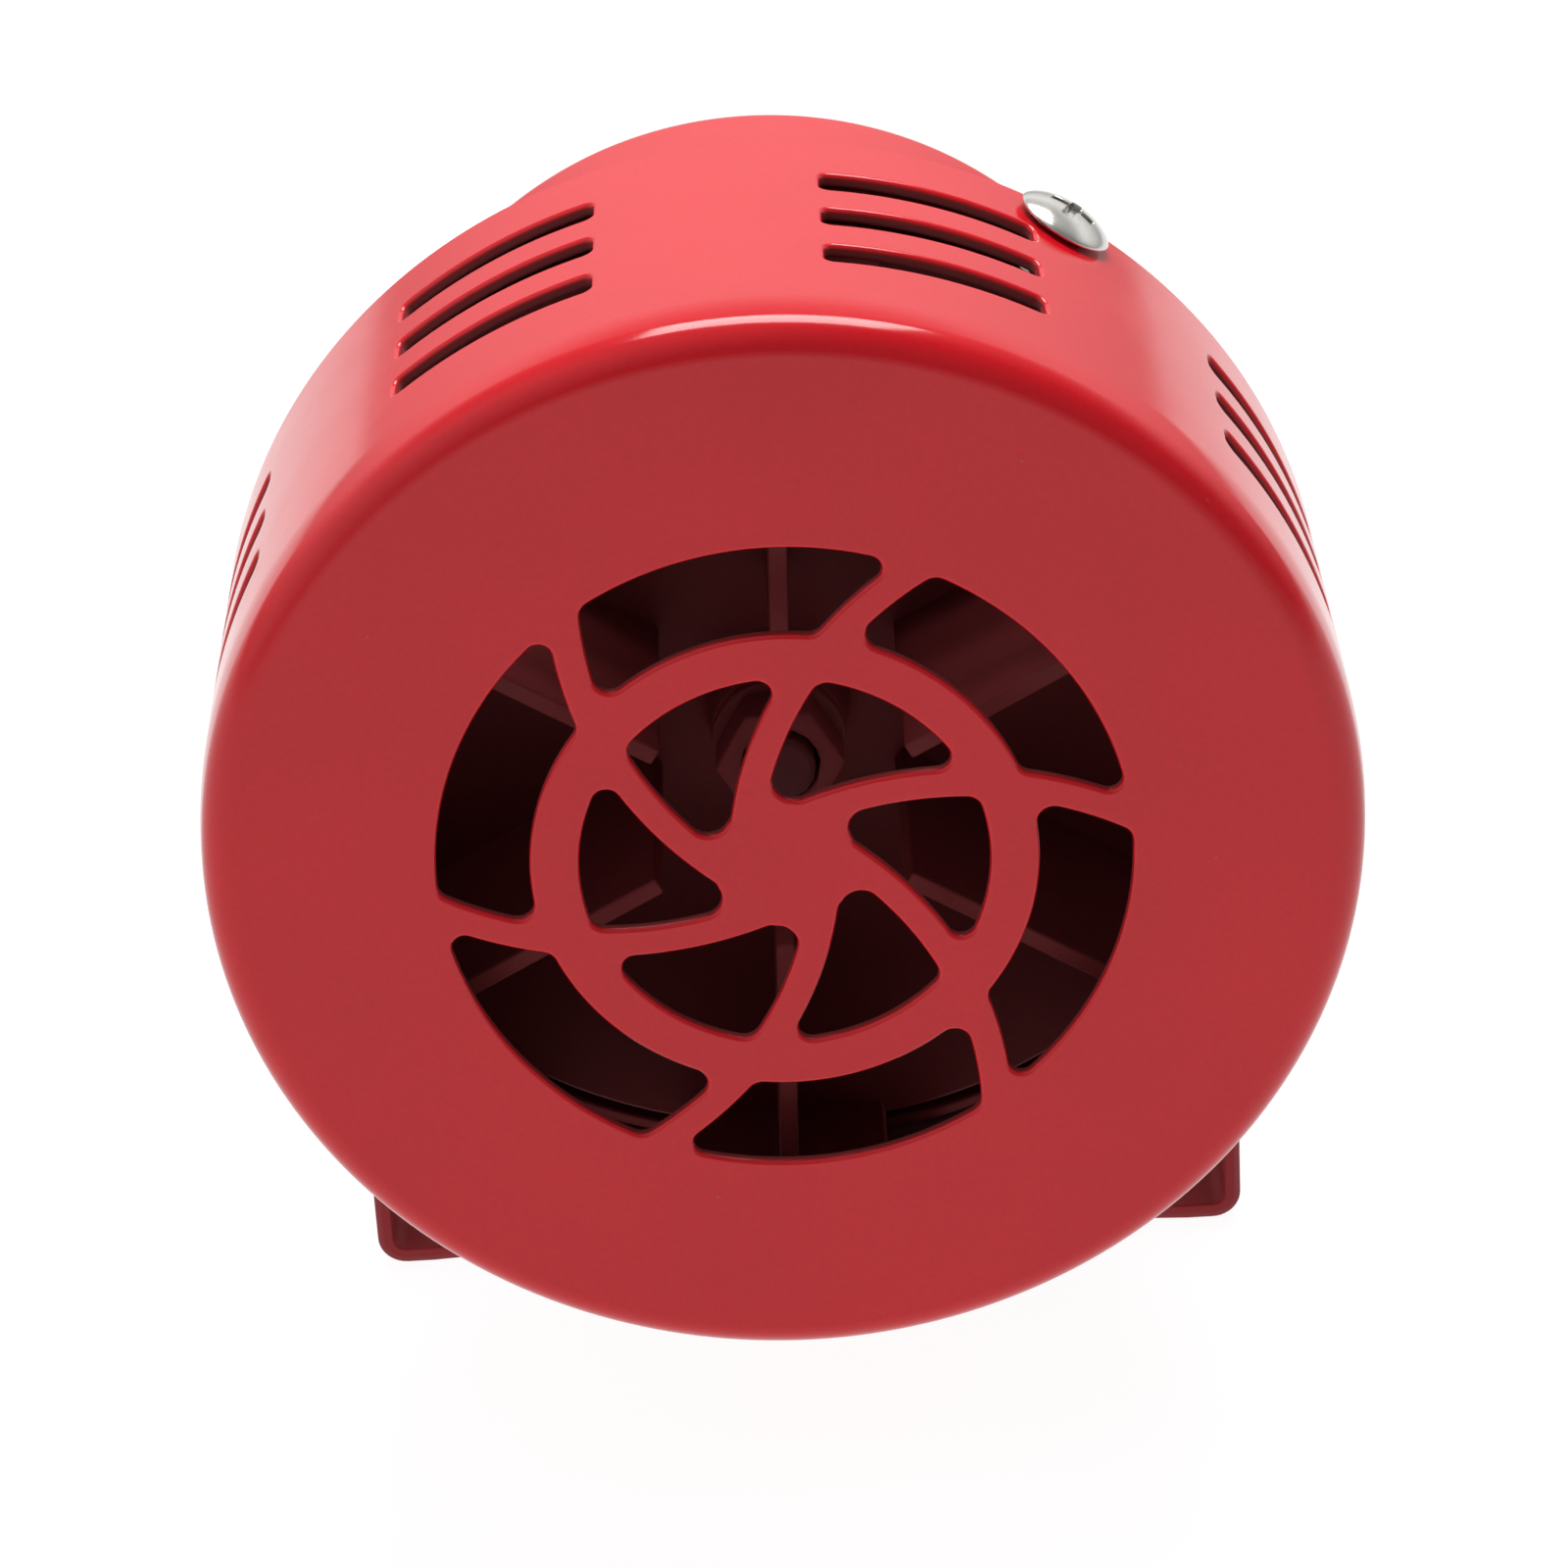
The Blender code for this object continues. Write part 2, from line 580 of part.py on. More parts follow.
def bracket():
    """A strip bent into a U, with narrower round-ended arms and two fixing slots in its base."""
    half = BRACKET_HALF_WIDTH
    bend = BRACKET_BEND
    top = AXIS_HEIGHT + ARM_HALF_WIDTH
    outer = arc((half - bend, bend), bend, 0.0, -90.0, 6)
    inner = arc((half - bend, bend), bend - BRACKET_SHEET, -90.0, 0.0, 6)
    mirror = Vector((-1, 1))
    right_out = [Vector((half, top))] + outer
    right_in = inner + [Vector((half - BRACKET_SHEET, top))]
    left_out = [point * mirror for point in reversed(right_out)]
    left_in = [point * mirror for point in reversed(right_in)]
    outline = right_out + left_out + left_in + right_in
    strip = add_object("bracket", mesh_from(prism(outline, -BRACKET_HALF_DEPTH, BRACKET_HALF_DEPTH),
                                            "bracket"), painted("bracket_paint", DARK_RED))
    cut(strip, "arm_shape_cutter", arm_shape(), "INTERSECT")
    holes = bmesh.new()
    crossing = turned_prism(circle(PIVOT_HOLE), -half - MM, half + MM, (1, 0, 0))
    bmesh.ops.translate(crossing, verts=crossing.verts, vec=(0, 0, AXIS_HEIGHT))
    cut(strip, "arm_hole_cutter", mesh_from(crossing, "arm_hole_cutter"))
    for side in (1, -1):
        straight = BASE_SLOT_LENGTH - BASE_SLOT_WIDTH
        right = arc((side * BASE_SLOT_X + straight / 2.0, 0), BASE_SLOT_WIDTH / 2.0, -90, 90, 8)
        left = arc((side * BASE_SLOT_X - straight / 2.0, 0), BASE_SLOT_WIDTH / 2.0, 90, 270, 8)
        add_vertical(holes, right + left)
    for side in (1, -1):
        add_vertical(holes, waist_outline(side))
    cut(strip, "base_cutter", mesh_from(holes, "base_cutter"))


def add_vertical(bm, outline):
    """Add an upright cutter through the base, its outline given as (x, y) points."""
    verts = [bm.verts.new((point[0], point[1], -MM)) for point in outline]
    face = bm.faces.new(verts)
    moved = bmesh.ops.extrude_face_region(bm, geom=[face])["geom"]
    new_verts = [item for item in moved if isinstance(item, bmesh.types.BMVert)]
    bmesh.ops.translate(bm, verts=new_verts, vec=(0, 0, BRACKET_SHEET + 2 * MM))


def waist_outline(side):
    """A shallow arc out of the base's front or rear edge, between the two feet."""
    reach = BRACKET_HALF_WIDTH - BRACKET_BEND - 2 * MM
    radius = (reach ** 2 + BASE_WAIST ** 2) / (2.0 * BASE_WAIST)
    centre = Vector((0.0, BRACKET_HALF_DEPTH - BASE_WAIST + radius))
    half = math.degrees(math.asin(reach / radius))
    points = arc(centre, radius, -90.0 - half, -90.0 + half, 12)
    outer = [Vector((reach, BRACKET_HALF_DEPTH + MM)), Vector((-reach, BRACKET_HALF_DEPTH + MM))]
    return [Vector((point.x, side * point.y)) for point in points + outer]


def arm_shape():
    """The side outline of the arms as a solid across the bracket, which keeps what lies in it."""
    low, high = ARM_FLARE_HEIGHTS
    wide = BRACKET_HALF_DEPTH + MM
    foot = BRACKET_HALF_DEPTH
    half = ARM_HALF_WIDTH
    right = [Vector((wide, -MM)), Vector((wide, 3 * MM)), Vector((foot, 3 * MM)), Vector((foot, low))]
    right.append(Vector((half, high)))
    left = [Vector((-point.x, point.y)) for point in reversed(right)]
    outline = right + arc((0, AXIS_HEIGHT), half, 0.0, 180.0, 14) + left
    bm = bmesh.new()
    reach = BRACKET_HALF_WIDTH + MM
    verts = [bm.verts.new((-reach, point.x, point.y)) for point in outline]
    face = bm.faces.new(verts)
    moved = bmesh.ops.extrude_face_region(bm, geom=[face])["geom"]
    new_verts = [item for item in moved if isinstance(item, bmesh.types.BMVert)]
    bmesh.ops.translate(bm, verts=new_verts, vec=(2 * reach, 0, 0))
    return mesh_from(bm, "arm_shape")


# ---------------------------------------------------------------- motor, fixed pieces

def pole_cavity():
    """The opening inside the stator: a round bore with a winding pocket on each side."""
    neck = POLE_HALF_WIDTH
    bore, back = POLE_SHOE
    yoke_angle = math.degrees(math.acos(neck / YOKE_INNER))
    back_angle = math.degrees(math.acos(neck / back))
    tip = POLE_SHOE_ANGLE
    upper = arc((0, 0), YOKE_INNER, 0.0, yoke_angle, 6)
    upper += arc((0, 0), back, back_angle, tip, 3)
    upper += arc((0, 0), bore, tip, 90.0, 5)
    right_top = upper[:-1]
    left_top = [Vector((-point.x, point.y)) for point in reversed(upper)][:-1]
    top = right_top + left_top
    bottom = [-point for point in top]
    return top + bottom


def stator_stack(parent, location):
    half = STACK_HALF_WIDTH
    flat_angle = math.degrees(math.acos(half / STACK_RADIUS))
    outline = arc((0, 0), STACK_RADIUS, flat_angle, 180.0 - flat_angle, 14)
    outline += arc((0, 0), STACK_RADIUS, 180.0 + flat_angle, 360.0 - flat_angle, 14)
    stack = add_object("stator_stack", mesh_from(prism(outline, *STACK), "stator_stack"),
                       metal("stator_steel", DARK_STEEL, 0.5), parent, location)
    cut(stack, "pole_cavity_cutter", mesh_from(prism(pole_cavity(), STACK[0] - MM, STACK[1] + MM),
                                               "pole_cavity_cutter"))
    holes = [(0.0, side * THROUGH_BOLT_OFFSET, THROUGH_HOLE) for side in (1, -1)]
    cut(stack, "stack_bolt_cutter", axial_holes(holes, STACK[0] - MM, STACK[1] + MM))


def field_coils(parent, location):
    """A wound ring around each pole."""
    inner_x = POLE_HALF_WIDTH + GAP
    inner_y = (STACK[1] - STACK[0]) / 2.0 + GAP
    thickness = 4.2 * MM
    middle = (STACK[0] + STACK[1]) / 2.0
    span = (POLE_SHOE[1] + GAP, 17.6 * MM)

    outer = rounded_box(inner_x + thickness, inner_y + thickness, 3.5 * MM)
    hole = rounded_box(inner_x, inner_y, 0.4 * MM)
    for label, side in (("upper", 1), ("lower", -1)):
        coil = add_object("field_coil_" + label,
                          mesh_from(turned_prism(outer, *span, (0, 0, side)), "field_coil"),
                          metal("field_coil_copper_" + label, COPPER, 0.4), parent,
                          (location[0], location[1] + middle, location[2]))
        cut(coil, "coil_hole_cutter_" + label,
            mesh_from(turned_prism(hole, span[0] - MM, span[1] + MM, (0, 0, side)), "coil_hole"))


def rear_end_frame(parent, location):
    """The pressed disc that carries the rear bearing and the brush holders."""
    front, rear = END_FRAME
    cup_inner = BEARING_RADIUS + GAP
    cup_outer = cup_inner + SHEET
    cup_rear = rear + 3.3 * MM
    profile = [(front, 3.5 * MM), (front, 28.4 * MM), (rear, 28.4 * MM), (rear, cup_outer),
               (cup_rear, cup_outer), (cup_rear, cup_inner), (rear, cup_inner), (rear, 3.5 * MM)]
    disc = add_object("rear_end_frame", mesh_from(revolve(profile, 32), "rear_end_frame"),
                      metal("end_frame_steel", STEEL, 0.45), parent, location)
    openings = bmesh.new()
    for angle in (45.0, 135.0, 225.0, 315.0):
        extrude_depth(openings, wedge(12.0 * MM, 22.0 * MM, angle, 42.0, 4), front - MM, rear + MM)
    for side in (1, -1):
        outline = circle(THROUGH_HOLE, 16, (0.0, side * THROUGH_BOLT_OFFSET))
        extrude_depth(openings, outline, front - MM, rear + MM)
    cut(disc, "end_frame_cutter", mesh_from(openings, "end_frame_cutter"))


def bearings(parent, location):
    starts = {"front": BULKHEAD_REAR + GAP, "rear": END_FRAME[1] + GAP}
    widths = {"front": 4.0 * MM, "rear": 3.0 * MM}
    for label, start in starts.items():
        profile = ring_profile(start, start + widths[label], BORE_RADIUS, BEARING_RADIUS)
        add_object(label + "_bearing", mesh_from(revolve(profile, 24), label + "_bearing"),
                   metal(label + "_bearing_steel", STEEL, 0.25), parent, location)


def through_bolts(parent, location):
    """Two bolts with tube spacers that clamp end frame, stator and plate together."""
    seat = END_FRAME[1] + GAP
    bolt_mesh = screw_blank("through_bolt", 2.75 * MM, 1.9 * MM, 1.5 * MM, seat - BULKHEAD_FRONT + 0.4 * MM)
    spans = {"front": (BULKHEAD_REAR + GAP, STACK[0] - GAP), "rear": (STACK[1] + GAP, END_FRAME[0] - GAP)}
    for label, side in (("upper", 1), ("lower", -1)):
        height = side * THROUGH_BOLT_OFFSET
        add_object("through_bolt_" + label, bolt_mesh, metal("through_bolt_steel"), parent,
                   (0, location[1] + seat, height))
        for end, span in spans.items():
            profile = ring_profile(*span, THROUGH_HOLE, 2.9 * MM)
            name = "spacer_tube_" + end + "_" + label
            add_object(name, mesh_from(revolve(profile, 16), name),
                       metal(name + "_steel", STEEL, 0.4), parent, (0, location[1], height))


def brush_gear(parent, axes):
    """Holder, spring and carbon brush on each side; each brush slides on its own axis empty."""
    half_y = BRUSH_SIZE[0] / 2.0
    half_z = BRUSH_SIZE[1] / 2.0
    slide_y = half_y + GAP
    slide_z = half_z + GAP
    outer_y = slide_y + HOLDER_WALL
    outer_z = slide_z + HOLDER_WALL
    start, end = HOLDER_ENDS
    brush_end = BRUSH_START + BRUSH_LENGTH
    spring_ends = (brush_end + GAP + SPRING_WIRE, end - HOLDER_WALL - GAP - SPRING_WIRE)
    for label, side in (("left", -1), ("right", 1)):
        def span(low, high):
            return (side * low, side * high) if side > 0 else (-high, -low)

        x0, x1 = span(start, end)
        holder = add_object("brush_holder_" + label,
                            mesh_from(block((x0, -outer_y, -outer_z), (x1, outer_y, outer_z)), "holder"),
                            metal("brush_holder_brass_" + label, BRASS, 0.4), parent,
                            (0, BRUSH_DEPTH - PIVOT_DEPTH, 0))
        x0, x1 = span(start - MM, end - HOLDER_WALL)
        cut(holder, "holder_cutter_" + label,
            mesh_from(block((x0, -slide_y, -slide_z), (x1, slide_y, slide_z)), "holder_cutter"))
        x0, x1 = span(BRUSH_START, brush_end)
        add_object("brush_" + label,
                   mesh_from(block((x0, -half_y, -half_z), (x1, half_y, half_z)), "brush"),
                   plastic("brush_carbon_" + label, CARBON, 0.6), axes[label])
        add_object("brush_spring_" + label, mesh_from(coil_spring(*spring_ends, side), "brush_spring"),
                   metal("brush_spring_steel_" + label), parent, (0, BRUSH_DEPTH - PIVOT_DEPTH, 0))


def coil_spring(start, end, side):
    """A helix of round wire along X, closed at both ends."""
    per_turn = 8
    sides = 4
    count = SPRING_TURNS * per_turn
    bm = bmesh.new()
    rings = []
    for index in range(count + 1):
        turn = math.tau * index / per_turn
        radial = Vector((0.0, math.cos(turn), math.sin(turn)))
        along = Vector((1.0, 0.0, 0.0))
        x = start + (end - start) * index / count
        centre = Vector((side * x, 0.0, 0.0)) + radial * SPRING_RADIUS
        ring = []
        for corner in range(sides):
            angle = math.tau * corner / sides
            offset = radial * math.cos(angle) + along * math.sin(angle)
            ring.append(bm.verts.new(centre + offset * SPRING_WIRE))
        rings.append(ring)
    for before, after in zip(rings, rings[1:]):
        for corner in range(sides):
            following = (corner + 1) % sides
            bm.faces.new((before[corner], before[following], after[following], after[corner]))
    bm.faces.new(rings[0])
    bm.faces.new(rings[-1])
    return bm


# ---------------------------------------------------------------- rotor

def shaft(parent, location):
    front, rear = SHAFT_ENDS
    chamfer = 0.4 * MM
    profile = [(front, 0.0), (front, SHAFT_RADIUS - chamfer), (front + chamfer, SHAFT_RADIUS),
               (rear - chamfer, SHAFT_RADIUS), (rear, SHAFT_RADIUS - chamfer), (rear, 0.0)]
    add_object("motor_shaft", mesh_from(revolve(profile, SMALL_ROUND), "motor_shaft"),
               metal("shaft_steel", STEEL, 0.2), parent, location)


def armature(parent, location):
    pitch = 360.0 / ARMATURE_SLOTS
    tooth = 28.0
    outline = []
    for index in range(ARMATURE_SLOTS):
        middle = index * pitch
        outline += arc((0, 0), ARMATURE_RADIUS, middle - tooth / 2.0, middle + tooth / 2.0, 2)
        gap_start = middle + tooth / 2.0
        outline += arc((0, 0), ARMATURE_SLOT_FLOOR, gap_start, gap_start + pitch - tooth, 1)
    core = add_object("armature_core", mesh_from(prism(outline, *STACK), "armature_core"),
                      metal("armature_steel", DARK_STEEL, 0.45), parent, location)
    cut(core, "core_bore_cutter", axial_holes([(0, 0, BORE_RADIUS)], STACK[0] - MM, STACK[1] + MM))

    front_bundle = ring_profile(STACK[0] - 3.0 * MM, STACK[0] - GAP, 4.6 * MM, 10.8 * MM)
    winding = add_object("armature_windings", mesh_from(revolve(front_bundle, 24), "armature_windings"),
                         metal("winding_copper", COPPER, 0.4), parent, location)
    bars = bmesh.new()
    for index in range(ARMATURE_SLOTS):
        outline = wedge(ARMATURE_SLOT_FLOOR + GAP, 10.5 * MM, (index + 0.5) * pitch, 11.0, 1)
        extrude_depth(bars, outline, STACK[0] - 1.5 * MM, STACK[1] + 1.5 * MM)
    cut(winding, "slot_bars", mesh_from(bars, "slot_bars"), "UNION")
    rear_bundle = ring_profile(STACK[1] + GAP, STACK[1] + 2.7 * MM, 4.6 * MM, 10.8 * MM)
    cut(winding, "rear_bundle", mesh_from(revolve(rear_bundle, 24), "rear_bundle"), "UNION")

    bars_profile = ring_profile(*COMMUTATOR, BORE_RADIUS, COMMUTATOR_RADIUS)
    add_object("commutator", mesh_from(revolve(bars_profile, 24), "commutator"),
               metal("commutator_copper", COPPER, 0.3), parent, location)


def chopper_wheel(parent, location):
    """A disc with six radial vanes, each ending in a shutter that passes the drum's slots."""
    disc_front, disc_rear = WHEEL_DISC
    hub_front = disc_front - 6.0 * MM
    profile = [(hub_front, BORE_RADIUS), (hub_front, 4.8 * MM), (disc_front, 5.2 * MM),
               (disc_front, WHEEL_RADIUS), (disc_rear, WHEEL_RADIUS), (disc_rear, BORE_RADIUS)]
    wheel = add_object("chopper_wheel", mesh_from(revolve(profile, 40), "chopper_wheel"),
                       painted("chopper_wheel_paint", DARK_RED), parent, location)
    sink = 0.5 * MM
    for index in range(WHEEL_VANES):
        angle = WHEEL_FIRST_ANGLE + index * 360.0 / WHEEL_VANES
        cut(wheel, "vane_" + str(index + 1), vane_mesh(angle, disc_front + sink), "UNION")


def vane_mesh(angle, rear):
    """One vane with its shutter: a T-shaped outline, its stem towards the hub."""
    half = VANE_THICKNESS / 2.0
    shutter_inner = WHEEL_RADIUS - 1.2 * MM
    outer = arc((0, 0), WHEEL_RADIUS - 0.05 * MM, -WHEEL_SHUTTER_SPAN / 2.0, WHEEL_SHUTTER_SPAN / 2.0, 4)
    stem_angle = math.degrees(math.asin(half / shutter_inner))
    inner = arc((0, 0), shutter_inner, WHEEL_SHUTTER_SPAN / 2.0, stem_angle, 2)
    stem = [Vector((10.0 * MM, half)), Vector((10.0 * MM, -half))]
    back = arc((0, 0), shutter_inner, -stem_angle, -WHEEL_SHUTTER_SPAN / 2.0, 2)
    return mesh_from(prism(rotated(outer + inner + stem + back, angle), WHEEL_FRONT, rear), "vane")


def wheel_fixing(parent, location):
    hub_front = WHEEL_DISC[0] - 6.0 * MM
    washer = (hub_front - GAP - 1.0 * MM, hub_front - GAP)
    add_object("wheel_washer", mesh_from(revolve(ring_profile(*washer, BORE_RADIUS, 4.8 * MM), 20),
                                         "wheel_washer"), painted("wheel_washer_paint", DARK_RED), parent,
               location)
    nut = add_object("wheel_nut", mesh_from(prism(hexagon(4.0 * MM), washer[0] - GAP - 3.5 * MM,
                                                  washer[0] - GAP), "wheel_nut"),
                     painted("wheel_nut_paint", DARK_RED), parent, location)
    cut(nut, "nut_bore_cutter", axial_holes([(0, 0, BORE_RADIUS)], washer[0] - 5 * MM, washer[0] + MM))


# ---------------------------------------------------------------- assembly

def build():
    clear_scene()
    tilt_axis = add_empty("tilt_axis", (0, 0, AXIS_HEIGHT))
    face = (0, -PIVOT_DEPTH, 0)
    rotor_axis = add_empty("rotor_axis", face, tilt_axis)
    brush_place = (0, BRUSH_DEPTH - PIVOT_DEPTH, 0)
    brush_axes = {label: add_empty("brush_axis_" + label, brush_place, tilt_axis)
                  for label in ("left", "right")}

    bracket()

    front_cover(tilt_axis, face)
    bulkhead(tilt_axis, face)
    rear_can(tilt_axis, face)
    cable_grommet(tilt_axis, face)
    body_screws(tilt_axis, face)
    pivot_hardware(tilt_axis)
    stator_stack(tilt_axis, face)
    field_coils(tilt_axis, face)
    rear_end_frame(tilt_axis, face)
    bearings(tilt_axis, face)
    through_bolts(tilt_axis, face)
    brush_gear(tilt_axis, brush_axes)

    here = (0, 0, 0)
    shaft(rotor_axis, here)
    armature(rotor_axis, here)
    chopper_wheel(rotor_axis, here)
    wheel_fixing(rotor_axis, here)


build()
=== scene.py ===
"""Looks of the mini motor siren: fine meshes, finishes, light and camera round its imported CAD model.

Pieces of the siren's body are worked out in (x, depth, z), where depth runs back from the drum's
face and x and z are measured from the drum's axis, and are then put in place with HOUSING.
"""
import math

import bmesh
import bpy
from mathutils import Matrix, Quaternion, Vector
from mathutils.geometry import delaunay_2d_cdt


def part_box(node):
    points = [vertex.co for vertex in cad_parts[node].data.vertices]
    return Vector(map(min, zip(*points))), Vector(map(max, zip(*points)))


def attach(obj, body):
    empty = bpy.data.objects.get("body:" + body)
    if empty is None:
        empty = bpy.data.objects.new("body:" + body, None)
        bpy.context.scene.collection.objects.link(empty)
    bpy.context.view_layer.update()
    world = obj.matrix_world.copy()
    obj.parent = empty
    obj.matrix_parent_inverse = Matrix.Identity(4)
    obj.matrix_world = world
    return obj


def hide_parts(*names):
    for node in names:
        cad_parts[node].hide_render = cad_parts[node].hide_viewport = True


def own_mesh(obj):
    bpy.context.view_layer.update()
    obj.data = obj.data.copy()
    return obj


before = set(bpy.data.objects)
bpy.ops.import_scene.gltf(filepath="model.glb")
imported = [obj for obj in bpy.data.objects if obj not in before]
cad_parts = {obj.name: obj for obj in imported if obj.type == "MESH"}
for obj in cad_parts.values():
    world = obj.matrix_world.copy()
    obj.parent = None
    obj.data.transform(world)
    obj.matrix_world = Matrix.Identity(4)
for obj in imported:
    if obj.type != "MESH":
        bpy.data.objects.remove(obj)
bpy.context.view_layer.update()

MM = 0.001

# Places, from the frame
COVER_LOW, COVER_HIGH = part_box("front_cover")
FACE = Vector(((COVER_LOW.x + COVER_HIGH.x) / 2.0, COVER_LOW.y, (COVER_LOW.z + COVER_HIGH.z) / 2.0))
HOUSING = Matrix.Translation(FACE)
TILT_CENTRE = Vector((0.0, 0.0, FACE.z))
PIVOT_DEPTH = TILT_CENTRE.y - FACE.y

# Drum
DRUM_RADIUS = (COVER_HIGH.x - COVER_LOW.x) / 2.0
DRUM_DEPTH = COVER_HIGH.y - COVER_LOW.y
DRUM_EDGE_RADIUS = 2.4 * MM
DRUM_LEAD_ANGLE = 9.0
DRUM_LEAD_RADIUS = 18.0 * MM
SHEET = 1.0 * MM
DRUM_CUT_ROUNDING = 0.36 * MM
SLOT_GROUPS = 8
SLOT_FIRST_ANGLE = 71.7
SLOT_SPAN = 22.2
SLOT_DEPTHS = (12.1 * MM, 18.6 * MM, 24.9 * MM)
SLOT_WIDTH = 2.7 * MM
SLOT_CORNER = 0.7 * MM
COVER_SCREW_DEPTH = 29.2 * MM
COVER_SCREW_ANGLES = {"upper": 57.0, "lower": 237.0}
COVER_SCREW_HOLE = 2.1 * MM

# Grille: six spiral ribs crossed by one ring
RIB_COUNT = 6
RIB_WIDTH = 2.2 * MM
RIB_ARC_RADIUS = 26.5 * MM
RIB_ARC_CENTRE_RADIUS = 23.75 * MM
RIB_ARC_CENTRE_ANGLE = -2.35
GRILLE_OUTER = 23.75 * MM
RING_OUTER = 17.4 * MM
RING_INNER = 14.0 * MM
GRILLE_CORNER = 1.15 * MM

# Rear can and the plate between drum and can
CAN_RADIUS = 30.4 * MM
CAN_FLANGE_RADIUS = 36.5 * MM
CAN_FRONT = 32.5 * MM
CAN_REAR = 65.0 * MM
CAN_EDGE_RADIUS = 3.0 * MM
CAN_SCREW_ANGLES = (45.0, 135.0, 225.0, 315.0)
CAN_SCREW_CIRCLE = 34.0 * MM
SCREW_HOLE = 1.8 * MM
BULKHEAD = (31.0 * MM, 32.2 * MM)
BULKHEAD_LIP = 27.0 * MM
BULKHEAD_RADIUS = 38.7 * MM
GROMMET_HEIGHT = -19.0 * MM
GROMMET_HOLE = 3.3 * MM
GAP = 0.3 * MM

# Bracket
BRACKET_HALF_WIDTH = 33.6 * MM
BRACKET_SHEET = 1.2 * MM
BRACKET_BEND = 2.2 * MM
BRACKET_HALF_DEPTH = 14.0 * MM
BASE_FLAT = BRACKET_HALF_WIDTH - BRACKET_BEND
BEND_LENGTH = BRACKET_BEND * math.pi / 2.0
ARM_HALF_WIDTH = 8.0 * MM
ARM_FLARE_HEIGHTS = (12.0 * MM, 25.0 * MM)
BASE_WAIST = 1.2 * MM
BASE_SLOT_X = 17.0 * MM
BASE_SLOT = (10.0 * MM, 5.5 * MM)
PIVOT_HOLE = 2.3 * MM
WASHER_THICKNESS = 0.8 * MM

# Chopper wheel
WHEEL_RADIUS = 36.3 * MM
WHEEL_DISC = (25.6 * MM, 26.8 * MM)
WHEEL_FRONT = 6.5 * MM
WHEEL_VANES = 6
WHEEL_FIRST_ANGLE = 88.0
WHEEL_SHUTTER_SPAN = 24.0
VANE_THICKNESS = 1.3 * MM
VANE_INNER = 10.0 * MM
VANE_ROOT = 0.5 * MM
HUB_FRONT = 19.6 * MM
HUB_BORE = 2.8 * MM

# Brush springs: ends from the motor's axis, with the outer one held.
BRUSH_DEPTH = 55.8 * MM
SPRING_ENDS = (13.05 * MM, 17.65 * MM)
SPRING_RADIUS = 1.2 * MM
SPRING_WIRE = 0.25 * MM
SPRING_TURNS = 4

# Fineness of the meshes: points round the drum and can and round a screw, and steps over an edge
ROUND = 240
SCREW_SEGMENTS = 64
EDGE_STEPS = 3
GRID_SPACING = 1.5 * MM

# Rounding of a cut sheet's edges, and the most that a tip's rounding takes off an outline's sides
CUT_ROUNDING = 0.2 * MM
LONGEST_ROUNDING = 1.8 * MM


# == Flat shapes

def polar(radius, degrees):
    angle = math.radians(degrees)
    return Vector((radius * math.cos(angle), radius * math.sin(angle)))


def arc(centre, radius, start, end, steps):
    """Points from one angle to another, in degrees, both ends included."""
    centre = Vector(centre)
    return [centre + polar(radius, start + (end - start) * i / steps) for i in range(steps + 1)]


def around(count):
    """Evenly spaced angles of a full turn."""
    return [360.0 * i / count for i in range(count)]


def ring_edges(start, count):
    """Pairs of numbers that join each point of a closed outline to the next."""
    return [(start + i, start + (i + 1) % count) for i in range(count)]


def line(start, end, spacing):
    """Points from start to end, both included, no further apart than the spacing."""
    start = Vector(start)
    end = Vector(end)
    steps = max(1, math.ceil((end - start).length / spacing))
    return [start.lerp(end, i / steps) for i in range(steps + 1)]


def trimmed(section, reach):
    """A run of points, shortened by a length at its end."""
    section = list(section)
    while (section[-1] - section[-2]).length < reach:
        reach -= (section[-1] - section[-2]).length
        section.pop()
    section[-1] = section[-1] + (section[-2] - section[-1]).normalized() * reach
    return section


def rounded_corner(before, after, radius, steps):
    """Round the corner where one run of points meets the next, less so at a sharp tip.

    Returns both runs, shortened, and the points of the arc between them.
    """
    corner = before[-1]
    into = (corner - before[-2]).normalized()
    out = (after[1] - corner).normalized()
    half_turn = into.angle(out) / 2.0
    reach = min(LONGEST_ROUNDING, radius * math.tan(half_turn))
    before = trimmed(before, reach)
    after = trimmed(reversed(after), reach)[::-1]
    pull = math.cos(half_turn)
    points = []
    for step in range(1, steps):
        share = step / steps
        weights = ((1.0 - share) ** 2, 2.0 * share * (1.0 - share) * pull, share ** 2)
        total = before[-1] * weights[0] + corner * weights[1] + after[0] * weights[2]
        points.append(total / sum(weights))
    return before, after, points


def rounded_outline(sections, radius, steps=7):
    """Join runs of points end to end into one outline and round the corners between them."""
    sections = [list(section) for section in sections]
    corners = []
    for index in range(len(sections)):
        following = (index + 1) % len(sections)
        rounded = rounded_corner(sections[index], sections[following], radius, steps)
        sections[index], sections[following] = rounded[:2]
        corners.append(rounded[2])
    outline = []
    for section, corner in zip(sections, corners):
        outline += section + corner
    return outline


def polygon(corners, radius, spacing):
    """A closed outline through corner points, each corner rounded."""
    corners = [Vector(corner) for corner in corners]
    following = corners[1:] + corners[:1]
    return rounded_outline([line(a, b, spacing) for a, b in zip(corners, following)], radius)


def rotated(outline, degrees):
    turn = Matrix.Rotation(math.radians(degrees), 2)
    return [turn @ point for point in outline]


